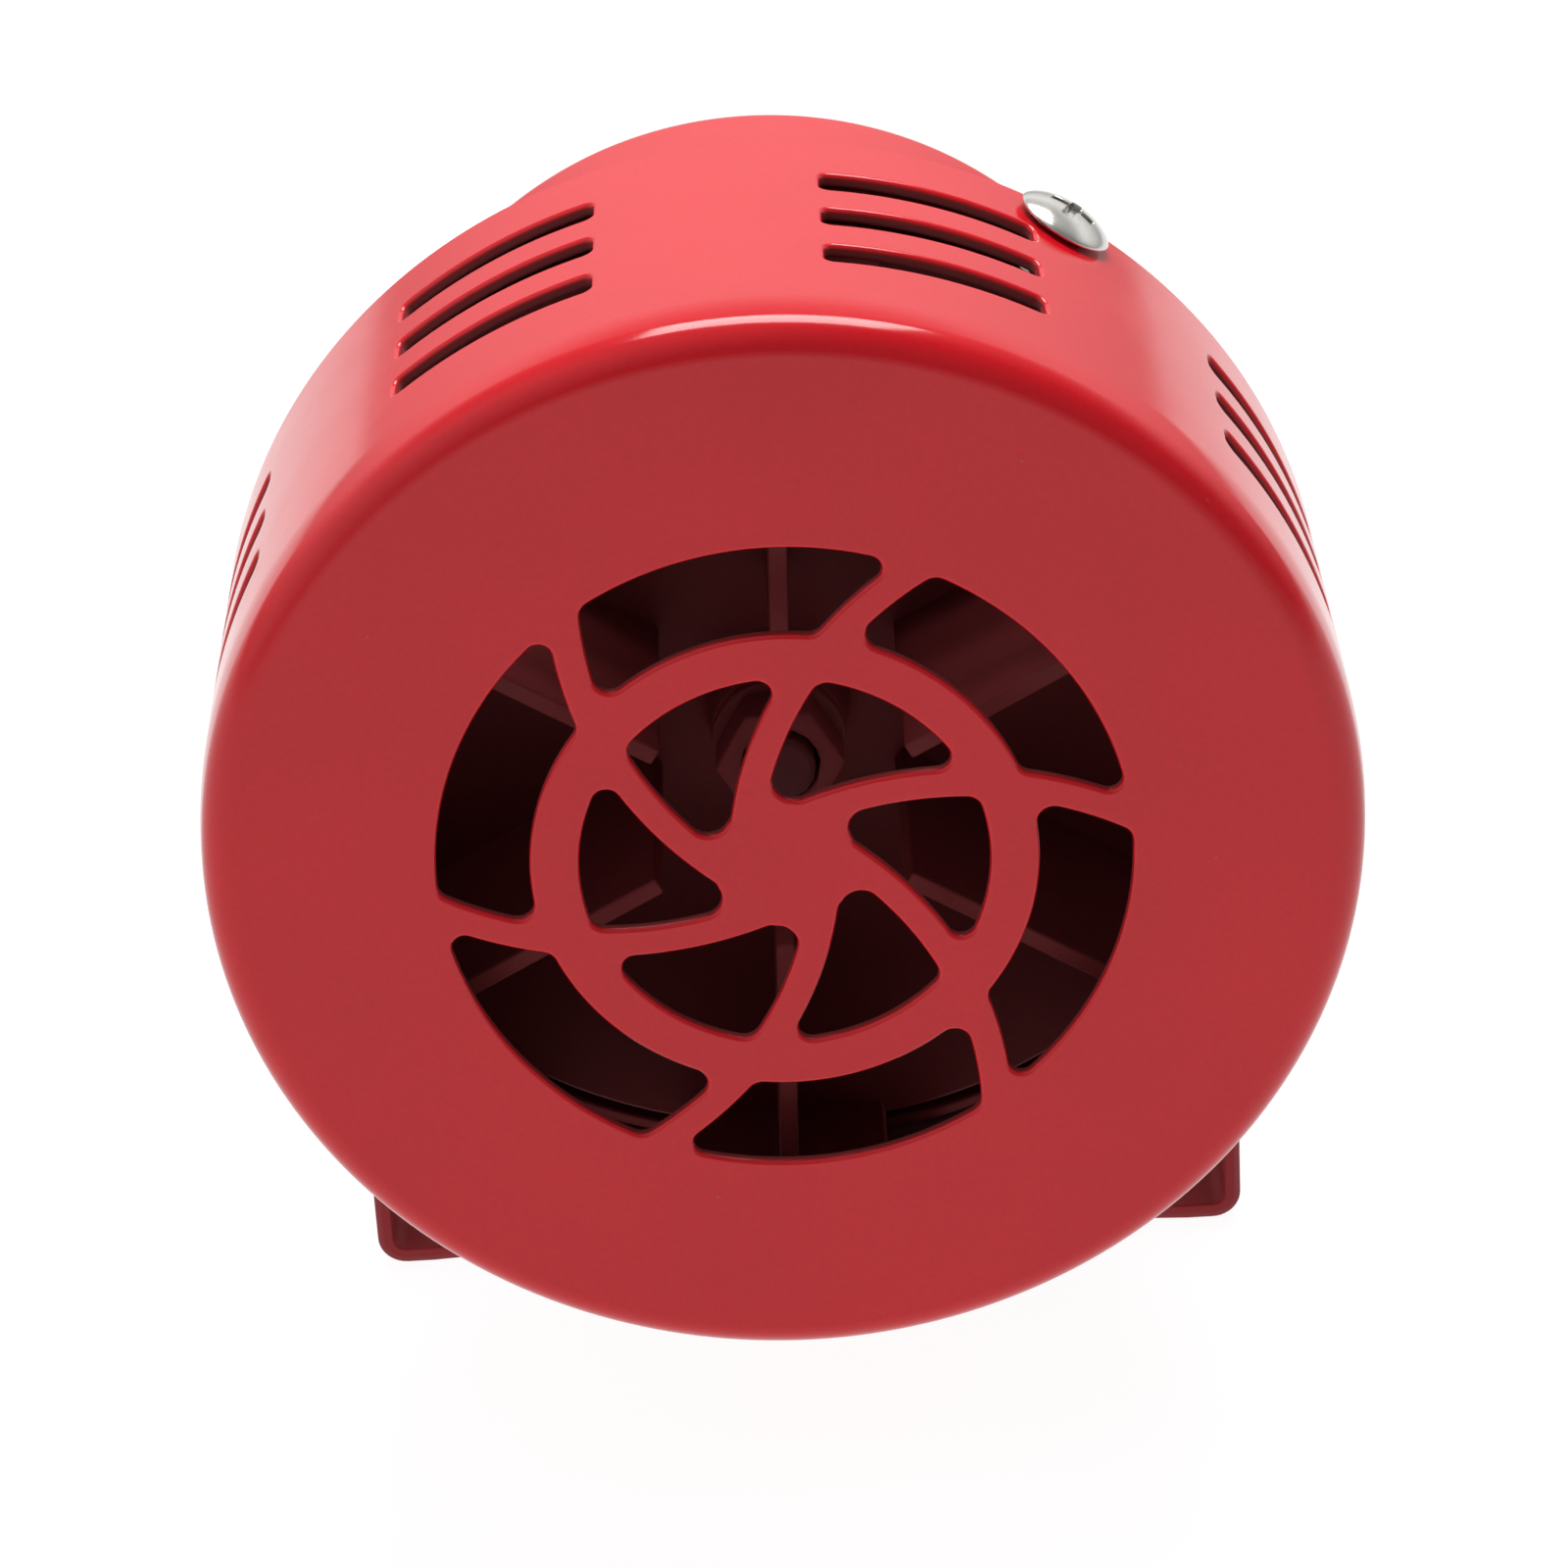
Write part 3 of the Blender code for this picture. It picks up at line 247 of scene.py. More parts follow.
def outward_directions(outline):
    """The direction at each point of a closed outline that looks out of it."""
    count = len(outline)
    area = sum(outline[i - 1].cross(outline[i]) for i in range(count))
    side = 1.0 if area > 0 else -1.0
    directions = []
    for index in range(count):
        before = (outline[index] - outline[index - 1]).normalized()
        after = (outline[(index + 1) % count] - outline[index]).normalized()
        along = (before + after).normalized()
        directions.append(Vector((along.y, -along.x)) * side)
    return directions


def inside(point, outline):
    within = False
    x, y = point
    previous = outline[-1]
    for corner in outline:
        if (corner[1] > y) != (previous[1] > y):
            crossing = previous[0] + (y - previous[1]) * (corner[0] - previous[0]) / (corner[1] - previous[1])
            if x < crossing:
                within = not within
        previous = corner
    return within


# == Profiles of turned shapes

def rounded_path(corners, steps=5, side=1.0, closed=False):
    """(place, look) along a profile of (depth, radius, fillet) corners, for a turned shape.

    place is (depth, radius). look is the surface's direction in the same plane: left of the way
    along for side 1. A closed profile goes round a ring's section and ends where it starts.
    """
    path = []
    count = len(corners)
    for index, (depth, radius, fillet) in enumerate(corners):
        corner = Vector((depth, radius))
        into = (corner - Vector(corners[index - 1][:2])).normalized()
        out = (Vector(corners[(index + 1) % count][:2]) - corner).normalized()
        if closed or 0 < index < count - 1:
            path += corner_arc(corner, into, out, fillet, steps, side)
        else:
            path.append((corner, (into if index else out).orthogonal() * side))
    return path + path[:1] if closed else path


def corner_arc(corner, into, out, fillet, steps, side):
    """A rounded corner between two directions of travel."""
    turn = math.atan2(into.cross(out), into.dot(out))
    bend = 1.0 if turn > 0 else -1.0
    start = corner - into * fillet * math.tan(abs(turn) / 2.0)
    look = into.orthogonal()
    centre = start + look * bend * fillet
    points = []
    for step in range(steps + 1):
        turned_look = Matrix.Rotation(turn * step / steps, 2) @ look
        points.append((centre - turned_look * bend * fillet, turned_look * side))
    return points


class Skin:
    """A mesh gathered point by point, each with the direction in which its surface looks.

    Two values of each point are there for the finishes to read: wear is 1 on the rounded edges of
    sheet, and inner rises from 0 on its outer side to 1 on its inner side, where the finishes paint shade.
    """

    def __init__(self):
        self.points = []
        self.looks = []
        self.wear = []
        self.inner = []
        self.faces = []

    def add(self, point, look, wear=0.0, inner=0.0):
        self.points.append(Vector(point))
        self.looks.append(Vector(look).normalized())
        self.wear.append(wear)
        self.inner.append(inner)
        return len(self.points) - 1

    def bridge(self, *rows, closed=True):
        """Join each row of points to the next one, which is as long."""
        for first, second in zip(rows, rows[1:]):
            for index in range(0 if closed else 1, len(first)):
                corners = (first[index - 1], first[index], second[index], second[index - 1])
                self.faces.append(tuple(dict.fromkeys(corners)))

    def finish(self, name, material, matrix, body, slot, replaced):
        """Make the object, with every face turned the way its points look."""
        faces = []
        for face in self.faces:
            if len(face) < 3:
                continue
            a, b, c = (self.points[index] for index in face[:3])
            look = sum((self.looks[index] for index in face), Vector())
            normal = (b - a).cross(c - a)
            if len(face) > 4:
                normal = polygon_normal([self.points[index] for index in face])
            faces.append(face if normal.dot(look) >= 0 else tuple(reversed(face)))
        mesh = bpy.data.meshes.new(name)
        mesh.from_pydata([matrix @ point for point in self.points], [], faces)
        mesh.shade_smooth()
        turn = matrix.to_3x3()
        mesh.normals_split_custom_set_from_vertices([turn @ look for look in self.looks])
        for label, values in (("edge_wear", self.wear), ("inner_side", self.inner)):
            attribute = mesh.attributes.new(label, "FLOAT", "POINT")
            attribute.data.foreach_set("value", values)
        mesh.materials.append(material)
        obj = bpy.data.objects.new(name, mesh)
        bpy.context.scene.collection.objects.link(obj)
        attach(obj, body)
        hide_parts(*replaced)
        return obj


def polygon_normal(points):
    total = Vector()
    for index, point in enumerate(points):
        total += points[index - 1].cross(point)
    return total


def turned(skin, path, segments, span=360.0):
    """Turn a path about the Y axis and join its rings. Returns the rings."""
    full = span == 360.0
    rings = []
    for place, look in path:
        depth, radius = place
        if radius < 1e-7:
            pole = skin.add((0.0, depth, 0.0), (0.0, look[0], 0.0))
            rings.append([pole] * segments)
            continue
        ring = []
        for index in range(segments if full else segments + 1):
            way = polar(1.0, span * index / segments)
            ring.append(skin.add((radius * way.x, depth, radius * way.y),
                                 (look[1] * way.x, look[0], look[1] * way.y)))
        rings.append(ring)
    skin.bridge(*rings, closed=full)
    return rings


class Loop:
    """An edge of a sheet: its outline, the ways out of the material and the patch that it lies on."""

    def __init__(self, outline, patch, outer=False, directions=None):
        self.outline = outline
        self.patch = patch
        self.outer = outer
        if directions is None:
            sign = 1.0 if outer else -1.0
            directions = [direction * sign for direction in outward_directions(outline)]
        self.directions = directions


def pressed(skin, loops, grid, thickness, edge):
    """Add a sheet with rounded edges. Loops bound it and grid points shape it.

    A patch takes a point (u, v) and returns its place on the flat pattern, its place in space, the
    surface's look there and the directions of u and v. grid holds such patch results.
    """
    flats = []
    outer_side = []
    inner_side = []
    edges = []
    borders = []
    for loop in loops:
        start = len(flats)
        rims = []
        for point, direction in zip(loop.outline, loop.directions):
            flat, place, look, along_u, along_v = loop.patch(point - direction * edge)
            flats.append(flat)
            rims.append((place, look, along_u * direction.x + along_v * direction.y))
        rings = edge_rings(skin, rims, thickness, edge)
        outer_side += rings[0]
        inner_side += rings[-1]
        skin.bridge(*rings)
        edges += ring_edges(start, len(flats) - start)
        borders.append((flats[start:], loop.outer))
    for flat, place, look, _, _ in clear_of(grid, borders, 2.0 * edge):
        flats.append(flat)
        outer_side.append(skin.add(place, look))
        inner_side.append(skin.add(place - look * thickness, -look, 0.0, 1.0))
    for triangle in triangles(flats, edges, borders):
        skin.faces.append(tuple(outer_side[index] for index in triangle))
        skin.faces.append(tuple(inner_side[index] for index in triangle))


def edge_rings(skin, rims, thickness, edge):
    """Rows of points over a rounded edge, from one side of the sheet to the other."""
    rings = []
    for back in (False, True):
        for step in range(EDGE_STEPS + 1):
            angle = math.pi / 2.0 * (EDGE_STEPS - step if back else step) / EDGE_STEPS
            sunk = edge * (1.0 - math.cos(angle))
            depth = thickness - sunk if back else sunk
            face = -math.cos(angle) if back else math.cos(angle)
            ring = []
            for place, look, out in rims:
                ring.append(skin.add(place - look * depth + out * edge * math.sin(angle),
                                     look * face + out * math.sin(angle), math.sin(angle),
                                     depth / thickness))
            rings.append(ring)
    return rings


def border_boxes(borders):
    boxes = []
    for outline, outer in borders:
        xs = [point.x for point in outline]
        ys = [point.y for point in outline]
        boxes.append((min(xs), max(xs), min(ys), max(ys), outline, outer))
    return boxes


def in_material(point, boxes):
    for left, right, low, high, outline, outer in boxes:
        near = left < point[0] < right and low < point[1] < high
        if outer != (near and inside(point, outline)):
            return False
    return True


def clear_of(grid, borders, margin):
    """The grid points that lie on the material, at least the margin from its edges."""
    boxes = border_boxes(borders)
    kept = []
    for item in grid:
        flat = item[0]
        if not in_material(flat, boxes):
            continue
        close = False
        for left, right, low, high, outline, _ in boxes:
            if left - margin < flat.x < right + margin and low - margin < flat.y < high + margin:
                close = close or any((flat - point).length < margin for point in outline)
        if not close:
            kept.append(item)
    return kept


def triangles(flats, edges, borders):
    """Triangles over the flat pattern, without those in its holes."""
    scale = 1.0 / MM
    result = delaunay_2d_cdt([point * scale for point in flats], edges, [], 0, 1e-6)
    places, faces, originals = result[0], result[2], result[3]
    boxes = border_boxes(borders)
    found = []
    for face in faces:
        middle = sum((places[index] for index in face), Vector((0.0, 0.0))) / (3.0 * scale)
        if in_material(middle, boxes):
            found.append([originals[index][0] for index in face])
    return found


# == Drawn shells

class DrawnShell:
    """A sheet drawn into a round shape. Its flat pattern is a disc of the profile's own length."""

    def __init__(self, path):
        """Take a path of (place, look), where place is (depth, radius)."""
        self.stations = []
        reach = 0.0
        previous = path[0][0]
        for place, look in path:
            reach += (place - previous).length
            previous = place
            self.stations.append((reach, place, look))

    def at(self, reach):
        """Place and look on the profile at a distance along it."""
        for (start, place, look), (end, next_place, next_look) in zip(self.stations, self.stations[1:]):
            if reach <= end + 1e-9:
                share = (reach - start) / (end - start) if end > start else 0.0
                return place.lerp(next_place, share), look.lerp(next_look, share)
        return self.stations[-1][1], self.stations[-1][2]

    def spot(self, reach, degrees):
        """A patch result for a distance along the profile and an angle round the axis."""
        place, look = self.at(reach)
        way = polar(1.0, degrees)
        ahead = Vector((-look.y, look.x))
        point = Vector((place.y * way.x, place.x, place.y * way.y))
        outward = Vector((look.y * way.x, look.x, look.y * way.y))
        sideways = Vector((-way.y, 0.0, way.x))
        along = Vector((ahead.y * way.x, ahead.x, ahead.y * way.y))
        return polar(reach, degrees), point, outward, sideways, along

    def flat_patch(self, start_reach=0.0, start_radius=0.0):
        """For a flat face or flange square to the axis, in x and z."""
        def patch(point):
            reach = start_reach + point.length - start_radius
            flat, place, look, _, _ = self.spot(reach, math.degrees(math.atan2(point.y, point.x)))
            return flat, place, look, Vector((1.0, 0.0, 0.0)), Vector((0.0, 0.0, 1.0))
        return patch

    def side_patch(self, radius, start_reach, start_depth, sign=1.0):
        """For a straight side: length round it, and depth."""
        def patch(point):
            reach = start_reach + sign * (point.y - start_depth)
            flat, place, look, sideways, _ = self.spot(reach, math.degrees(point.x / radius))
            return flat, place, look, sideways, Vector((0.0, 1.0, 0.0))
        return patch

    def grid(self, spacing):
        """Rings of points at the profile's bends and along its round stretches."""
        results = []
        for (start, place, _), (end, next_place, _) in zip(self.stations, self.stations[1:]):
            flat_stretch = abs(next_place.x - place.x) < 1e-7
            steps = 1 if flat_stretch else max(1, math.ceil((end - start) / spacing))
            for step in range(steps):
                reach = start + (end - start) * step / steps
                if reach > 1e-6:
                    results += [self.spot(reach, angle) for angle in around(ROUND)]
        return results

    def rim(self):
        """The shell's outer edge, as (angle round it, distance past it)."""
        reach = self.stations[-1][0]

        def patch(point):
            return self.spot(reach + point.y, math.degrees(point.x))
        outline = [Vector((math.tau * i / ROUND, 0.0)) for i in range(ROUND)]
        return Loop(outline, patch, True, [Vector((0.0, 1.0))] * ROUND)


def round_outline(radius, centre=(0.0, 0.0), steps=40):
    return arc(centre, radius, 0.0, 360.0 - 360.0 / steps, steps - 1)


# == Drum

def rib_edge_angle(radius, side):
    """The angle at which one edge of the first spiral rib crosses a radius."""
    edge_radius = RIB_ARC_RADIUS + side * RIB_WIDTH / 2.0
    reach = RIB_ARC_CENTRE_RADIUS
    cosine = (radius ** 2 + reach ** 2 - edge_radius ** 2) / (2.0 * radius * reach)
    return RIB_ARC_CENTRE_ANGLE + math.degrees(math.acos(max(-1.0, min(1.0, cosine))))


def opening_edges(radius):
    """Start and end angles of the opening between two ribs at a radius."""
    return rib_edge_angle(radius, 1) - 360.0 / RIB_COUNT, rib_edge_angle(radius, -1)


def inner_tip_radius():
    """The radius where two neighbouring ribs meet at the hub."""
    low = RIB_ARC_RADIUS - RIB_ARC_CENTRE_RADIUS + RIB_WIDTH
    high = RING_INNER
    for _ in range(40):
        middle = (low + high) / 2.0
        start, end = opening_edges(middle)
        if end > start:
            high = middle
        else:
            low = middle
    return high


def grille_outline(inner, outer):
    """One opening between two ribs, from its outer arc in to its inner arc or its point."""
    start, end = opening_edges(outer)
    steps = math.ceil((outer - inner) / (0.5 * MM))
    radii = [outer + (inner - outer) * i / steps for i in range(steps + 1)]
    inward = [polar(radius, opening_edges(radius)[1]) for radius in radii]
    outward = [polar(radius, opening_edges(radius)[0]) for radius in reversed(radii)]
    sections = [arc((0, 0), outer, start, end, 24), inward]
    inner_start, inner_end = opening_edges(inner)
    if inner_end - inner_start > 1.0:
        sections.append(arc((0, 0), inner, inner_end, inner_start, 24))
    else:
        outward[0] = inward[-1]
    return rounded_outline(sections + [outward], GRILLE_CORNER)


def slot_outline(middle, half_length, depth):
    """A side slot with rounded corners, as (length round the drum, depth)."""
    half = SLOT_WIDTH / 2.0
    corners = ((middle - half_length, depth - half), (middle + half_length, depth - half),
               (middle + half_length, depth + half), (middle - half_length, depth + half))
    return polygon(corners, SLOT_CORNER, 1.1 * MM)


def drum(material):
    """A flat face, a tight bend, a shallow sweep out to full width and a straight side."""
    bend_start = math.tan(math.radians((90.0 - DRUM_LEAD_ANGLE) / 2.0)) * DRUM_EDGE_RADIUS
    sweep_start = math.tan(math.radians(DRUM_LEAD_ANGLE / 2.0)) * DRUM_LEAD_RADIUS
    lead = polar(bend_start + sweep_start, DRUM_LEAD_ANGLE)
    corners = [(0.0, 0.0, 0.0), (0.0, DRUM_RADIUS - lead.y, DRUM_EDGE_RADIUS),
               (lead.x, DRUM_RADIUS, DRUM_LEAD_RADIUS), (DRUM_DEPTH, DRUM_RADIUS, 0.0)]
    shell = DrawnShell(rounded_path(corners, 10))
    side_start, side_place, _ = shell.stations[-2]
    side = shell.side_patch(DRUM_RADIUS, side_start, side_place.x)
    loops = [shell.rim()]
    for turn in around(RIB_COUNT):
        for inner, outer in ((RING_OUTER, GRILLE_OUTER), (inner_tip_radius(), RING_INNER)):
            loops.append(Loop(rotated(grille_outline(inner, outer), turn), shell.flat_patch()))
    half_length = DRUM_RADIUS * math.radians(SLOT_SPAN / 2.0)
    for angle in around(SLOT_GROUPS):
        middle = DRUM_RADIUS * math.radians(SLOT_FIRST_ANGLE + angle)
        for depth in SLOT_DEPTHS:
            loops.append(Loop(slot_outline(middle, half_length, depth), side))
    for angle in COVER_SCREW_ANGLES.values():
        centre = (DRUM_RADIUS * math.radians(angle), COVER_SCREW_DEPTH)
        loops.append(Loop(round_outline(COVER_SCREW_HOLE, centre), side))
    skin = Skin()
    pressed(skin, loops, shell.grid(GRID_SPACING), SHEET, DRUM_CUT_ROUNDING)
    return skin.finish("drum_shell", material, HOUSING, "housing", "drum_paint", ["front_cover"])


# == Rear can and bulkhead

def can(material):
    flange_rear = CAN_FRONT + SHEET
    corners = [(CAN_REAR, 0.0, 0.0), (CAN_REAR, CAN_RADIUS, CAN_EDGE_RADIUS),
               (flange_rear, CAN_RADIUS, 0.6 * MM), (flange_rear, CAN_FLANGE_RADIUS, 0.0)]
    shell = DrawnShell(rounded_path(corners, 8, -1.0))
    side_start = next(reach for reach, place, _ in shell.stations if place.y > CAN_RADIUS - 1e-7)
    side = shell.side_patch(CAN_RADIUS, side_start, CAN_REAR - CAN_EDGE_RADIUS, -1.0)
    flange_start, flange_place, _ = shell.stations[-2]
    flange = shell.flat_patch(flange_start, flange_place.y)
    loops = [shell.rim(), Loop(round_outline(GROMMET_HOLE, (0.0, GROMMET_HEIGHT)), shell.flat_patch())]
    for angle in (0.0, 180.0):
        centre = (CAN_RADIUS * math.radians(angle), PIVOT_DEPTH)
        loops.append(Loop(round_outline(PIVOT_HOLE, centre), side))
    for angle in CAN_SCREW_ANGLES:
        loops.append(Loop(round_outline(SCREW_HOLE, polar(CAN_SCREW_CIRCLE, angle)), flange))
    skin = Skin()
    pressed(skin, loops, shell.grid(GRID_SPACING), SHEET, CUT_ROUNDING)
    return skin.finish("can_shell", material, HOUSING, "housing", "can_paint", ["rear_can"])


def bulkhead(material):
    front, rear = BULKHEAD
    inner_lip = BULKHEAD_RADIUS - 1.0 * MM
    cup_inner = 5.8 * MM
    cup_outer = cup_inner + SHEET
    cup_rear = rear + 4.3 * MM
    bore = 3.5 * MM
    corners = [(front, bore, 0.2 * MM), (front, inner_lip, 1.0 * MM), (BULKHEAD_LIP, inner_lip, 0.3 * MM),
               (BULKHEAD_LIP, BULKHEAD_RADIUS, 0.3 * MM), (rear, BULKHEAD_RADIUS, 2.0 * MM),
               (rear, cup_outer, 0.5 * MM), (cup_rear, cup_outer, 0.3 * MM), (cup_rear, cup_inner, 0.2 * MM),
               (rear, cup_inner, 0.2 * MM), (rear, bore, 0.2 * MM)]
    skin = Skin()
    turned(skin, rounded_path(corners, closed=True), 160)
    return skin.finish("bulkhead_plate", material, HOUSING, "housing", "plate_primer", ["bulkhead"])


# == Bracket

def bracket_patch(point):
    """The bracket's flat pattern: length along the strip from the base's middle, and depth."""
    side = 1.0 if point.x >= 0 else -1.0
    past_base = max(0.0, abs(point.x) - BASE_FLAT)
    angle = min(past_base / BRACKET_BEND, math.pi / 2.0)
    place = Vector((min(abs(point.x), BASE_FLAT) + BRACKET_BEND * math.sin(angle), point.y,
                    BRACKET_BEND * (1.0 - math.cos(angle)) + max(0.0, past_base - BEND_LENGTH)))
    place.x *= side
    look = Vector((math.sin(angle) * side, 0.0, -math.cos(angle)))
    along = Vector((math.cos(angle), 0.0, math.sin(angle) * side))
    return point.copy(), place, look, along, Vector((0.0, 1.0, 0.0))


def bracket(material):
    arm_start = BASE_FLAT + BEND_LENGTH
    pivot = arm_start + TILT_CENTRE.z - BRACKET_BEND
    low, high = (arm_start + height - BRACKET_BEND for height in ARM_FLARE_HEIGHTS)
    wide = BRACKET_HALF_DEPTH
    waist = BASE_FLAT - 2 * MM
    waist_radius = (waist ** 2 + BASE_WAIST ** 2) / (2.0 * BASE_WAIST)
    waist_angle = math.degrees(math.asin(waist / waist_radius))
    waist_centre = (0.0, wide - BASE_WAIST + waist_radius)
    bend_steps = 10
    stations = [BASE_FLAT + BEND_LENGTH * i / bend_steps for i in range(bend_steps + 1)]

    top = arc((pivot, 0.0), ARM_HALF_WIDTH, 0.0, 90.0, 20)[:-1] + [Vector((pivot, ARM_HALF_WIDTH))]
    top += line((pivot, ARM_HALF_WIDTH), (high, ARM_HALF_WIDTH), 3 * MM)[1:]
    flare = line((high, ARM_HALF_WIDTH), (low, wide), 3 * MM)
    foot = [Vector((low, wide))] + [Vector((length, wide)) for length in reversed(stations)]
    foot.append(Vector((waist, wide)))
    waist_arc = arc(waist_centre, waist_radius, -90.0 + waist_angle, -90.0, 12)
    quarter = joined_runs([top, flare, foot, waist_arc], 3.0 * MM)
    left = [Vector((-point.x, point.y)) for point in reversed(quarter[:-1])]
    upper = quarter + left
    lower = [Vector((point.x, -point.y)) for point in reversed(upper[1:-1])]

    loops = [Loop(upper + lower, bracket_patch, True)]
    slot_length, slot_width = BASE_SLOT
    for side in (1, -1):
        reach = (slot_length - slot_width) / 2.0
        middle = side * BASE_SLOT_X
        ends = arc((middle + reach, 0.0), slot_width / 2.0, -90.0, 90.0, 20)
        ends += arc((middle - reach, 0.0), slot_width / 2.0, 90.0, 270.0, 20)
        loops.append(Loop(ends, bracket_patch))
        loops.append(Loop(round_outline(PIVOT_HOLE, (side * pivot, 0.0)), bracket_patch))
    rows = [side * length for length in stations for side in (1, -1)]
    columns = line((0.0, -wide), (0.0, wide), 0.7 * MM)[1:-1]
    grid = [bracket_patch(Vector((length, column.y))) for length in rows for column in columns]
    skin = Skin()
    pressed(skin, loops, grid, BRACKET_SHEET, CUT_ROUNDING)
    return skin.finish("bracket_strip", material, Matrix.Identity(4), "bracket", "bracket_paint", ["bracket"])


def joined_runs(runs, radius):
    """Runs of points end to end, with the corners between them rounded."""
    whole = list(runs[0])
    for run in runs[1:]:
        whole, rest, corner = rounded_corner(whole, run, radius, 6)
        whole += corner + rest
    return whole


# == Screws, washers and trim

def cross_outline(width, reach):
    """A cross-shaped driver recess."""
    half = width / 2.0
    corners = []
    for quarter in range(4):
        arm = [Vector((reach, -half)), Vector((reach, half)), Vector((half, half))]
        corners += rotated(arm, 90.0 * quarter)
    return polygon(corners, 0.3 * half, 0.5 * half)


def head_path(radius, height):
    """The dome of a screw head from its middle down to its short straight side."""
    shoulder = 0.15 * height
    rise = height - shoulder
    steps = 16
    points = []
    for step in range(steps + 1):
        angle = math.radians(90.0 * step / steps)
        points.append(Vector((shoulder + rise * abs(math.cos(angle)) ** 1.5, radius * math.sin(angle))))
    path = []
    for index, point in enumerate(points):
        before = points[max(0, index - 1)]
        after = points[min(steps, index + 1)]
        along = (after - before).normalized()
        path.append((point, Vector((along.y, -along.x))))
    path[0] = (points[0], Vector((1.0, 0.0)))
    path[-1] = (points[-1], Vector((0.0, 1.0)))
    return path


def threaded(skin, start, end, radius, pitch, segments):
    """Rings of a shank with a screw thread, from one depth to another."""
    height = 0.12 * radius
    steps = max(4, math.ceil(abs(end - start) / (pitch / 6.0)))
    rings = []
    for step in range(steps + 1):
        depth = start + (end - start) * step / steps
        fade = min(1.0, 4.0 * step / steps, 4.0 * (steps - step) / steps)
        ring = []
        for index in range(segments):
            way = polar(1.0, 360.0 * index / segments)
            phase = math.tau * (depth / pitch - index / segments)
            thread_radius = radius - fade * height * (1.0 - math.cos(phase)) / 2.0
            slope = -fade * height * math.sin(phase) / 2.0 * math.tau / pitch
            ring.append(skin.add((thread_radius * way.x, depth, thread_radius * way.y),
                                 (way.x, -slope, way.y)))
        rings.append(ring)
    skin.bridge(*rings)
    return rings


def dome_screw(head_radius, head_height, shank_radius, length):
    """A dome-head screw along Y with a cross recess. The underside of its head is at 0."""
    skin = Skin()
    dome = head_path(head_radius, head_height)
    top = [item for item in dome if item[0].y < 0.8 * head_radius]
    rim = 0.1 * head_height
    lower = [(Vector((rim, head_radius)), Vector((0.0, 1.0)))]
    for angle in (112.5, 135.0, 157.5, 180.0):
        look = polar(1.0, angle)
        lower.append((Vector((rim, head_radius - rim)) + look * rim, look))
    lower.append((Vector((0.0, shank_radius)), Vector((-1.0, 0.0))))
    rings = turned(skin, dome[len(top) - 1:] + lower, SCREW_SEGMENTS)
    recessed_top(skin, DrawnShell(top), rings[0], head_radius, 0.4 * head_height)

    thread = threaded(skin, -0.2 * MM, -length + 0.3 * shank_radius, shank_radius, 0.6 * MM, SCREW_SEGMENTS)
    skin.bridge(rings[-1], thread[0])
    tip = [(Vector((-length, 0.7 * shank_radius)), Vector((-0.7, 0.7))),
           (Vector((-length, 0.0)), Vector((-1.0, 0.0)))]
    skin.bridge(thread[-1], turned(skin, tip, SCREW_SEGMENTS)[0])
    return skin


def recessed_top(skin, shell, border, head_radius, floor):
    """The middle of a screw's head, from the ring of points at its border in to a cross recess."""
    edge = 0.025 * head_radius
    cross = cross_outline(0.24 * head_radius, 0.5 * head_radius)
    patch = shell.flat_patch()
    rims = []
    flats = []
    for point, direction in zip(cross, outward_directions(cross)):
        flat, place, look, _, _ = patch(point + direction * edge)
        flats.append(flat)
        rims.append((place, look, Vector((-direction.x, 0.0, -direction.y))))
    rows = []
    for angle in (0.0, math.pi / 4.0, math.pi / 2.0):
        level = math.cos(angle)
        reach = math.sin(angle)
        rows.append([skin.add(place + (look * (level - 1.0) + out * reach) * edge,
                              look * level + out * reach, reach) for place, look, out in rims])
    upward = Vector((0.0, 1.0, 0.0))
    for height, draft, look_share in ((floor + edge, 2.2, 0.0), (floor, 3.2, 0.7)):
        rows.append([skin.add(Vector((place.x, height, place.z)) + out * edge * draft,
                              out.lerp(upward, look_share)) for place, _, out in rims])
    skin.bridge(*rows)
    skin.faces.append(tuple(rows[-1]))

    surface = rows[0] + border
    degrees = around(SCREW_SEGMENTS)
    outer = [polar(shell.stations[-1][0], angle) for angle in degrees]
    edges = ring_edges(0, len(cross)) + ring_edges(len(cross), SCREW_SEGMENTS)
    borders = [(flats, False), (outer, True)]
    grid = [shell.spot(station[0], angle) for station in shell.stations[1:-1] for angle in degrees]
    flats = flats + outer
    for flat, place, look, _, _ in clear_of(grid, borders, 1.5 * edge):
        flats.append(flat)
        surface.append(skin.add(place, look))
    for triangle in triangles(flats, edges, borders):
        skin.faces.append(tuple(surface[index] for index in triangle))


def aimed(place, direction, spin=0.0):
    """The placement of a piece made along Y, with Y turned to a direction."""
    turn = Vector((0.0, 1.0, 0.0)).rotation_difference(Vector(direction)).to_matrix().to_4x4()
    return Matrix.Translation(Vector(place)) @ turn @ Matrix.Rotation(math.radians(spin), 4, "Y")


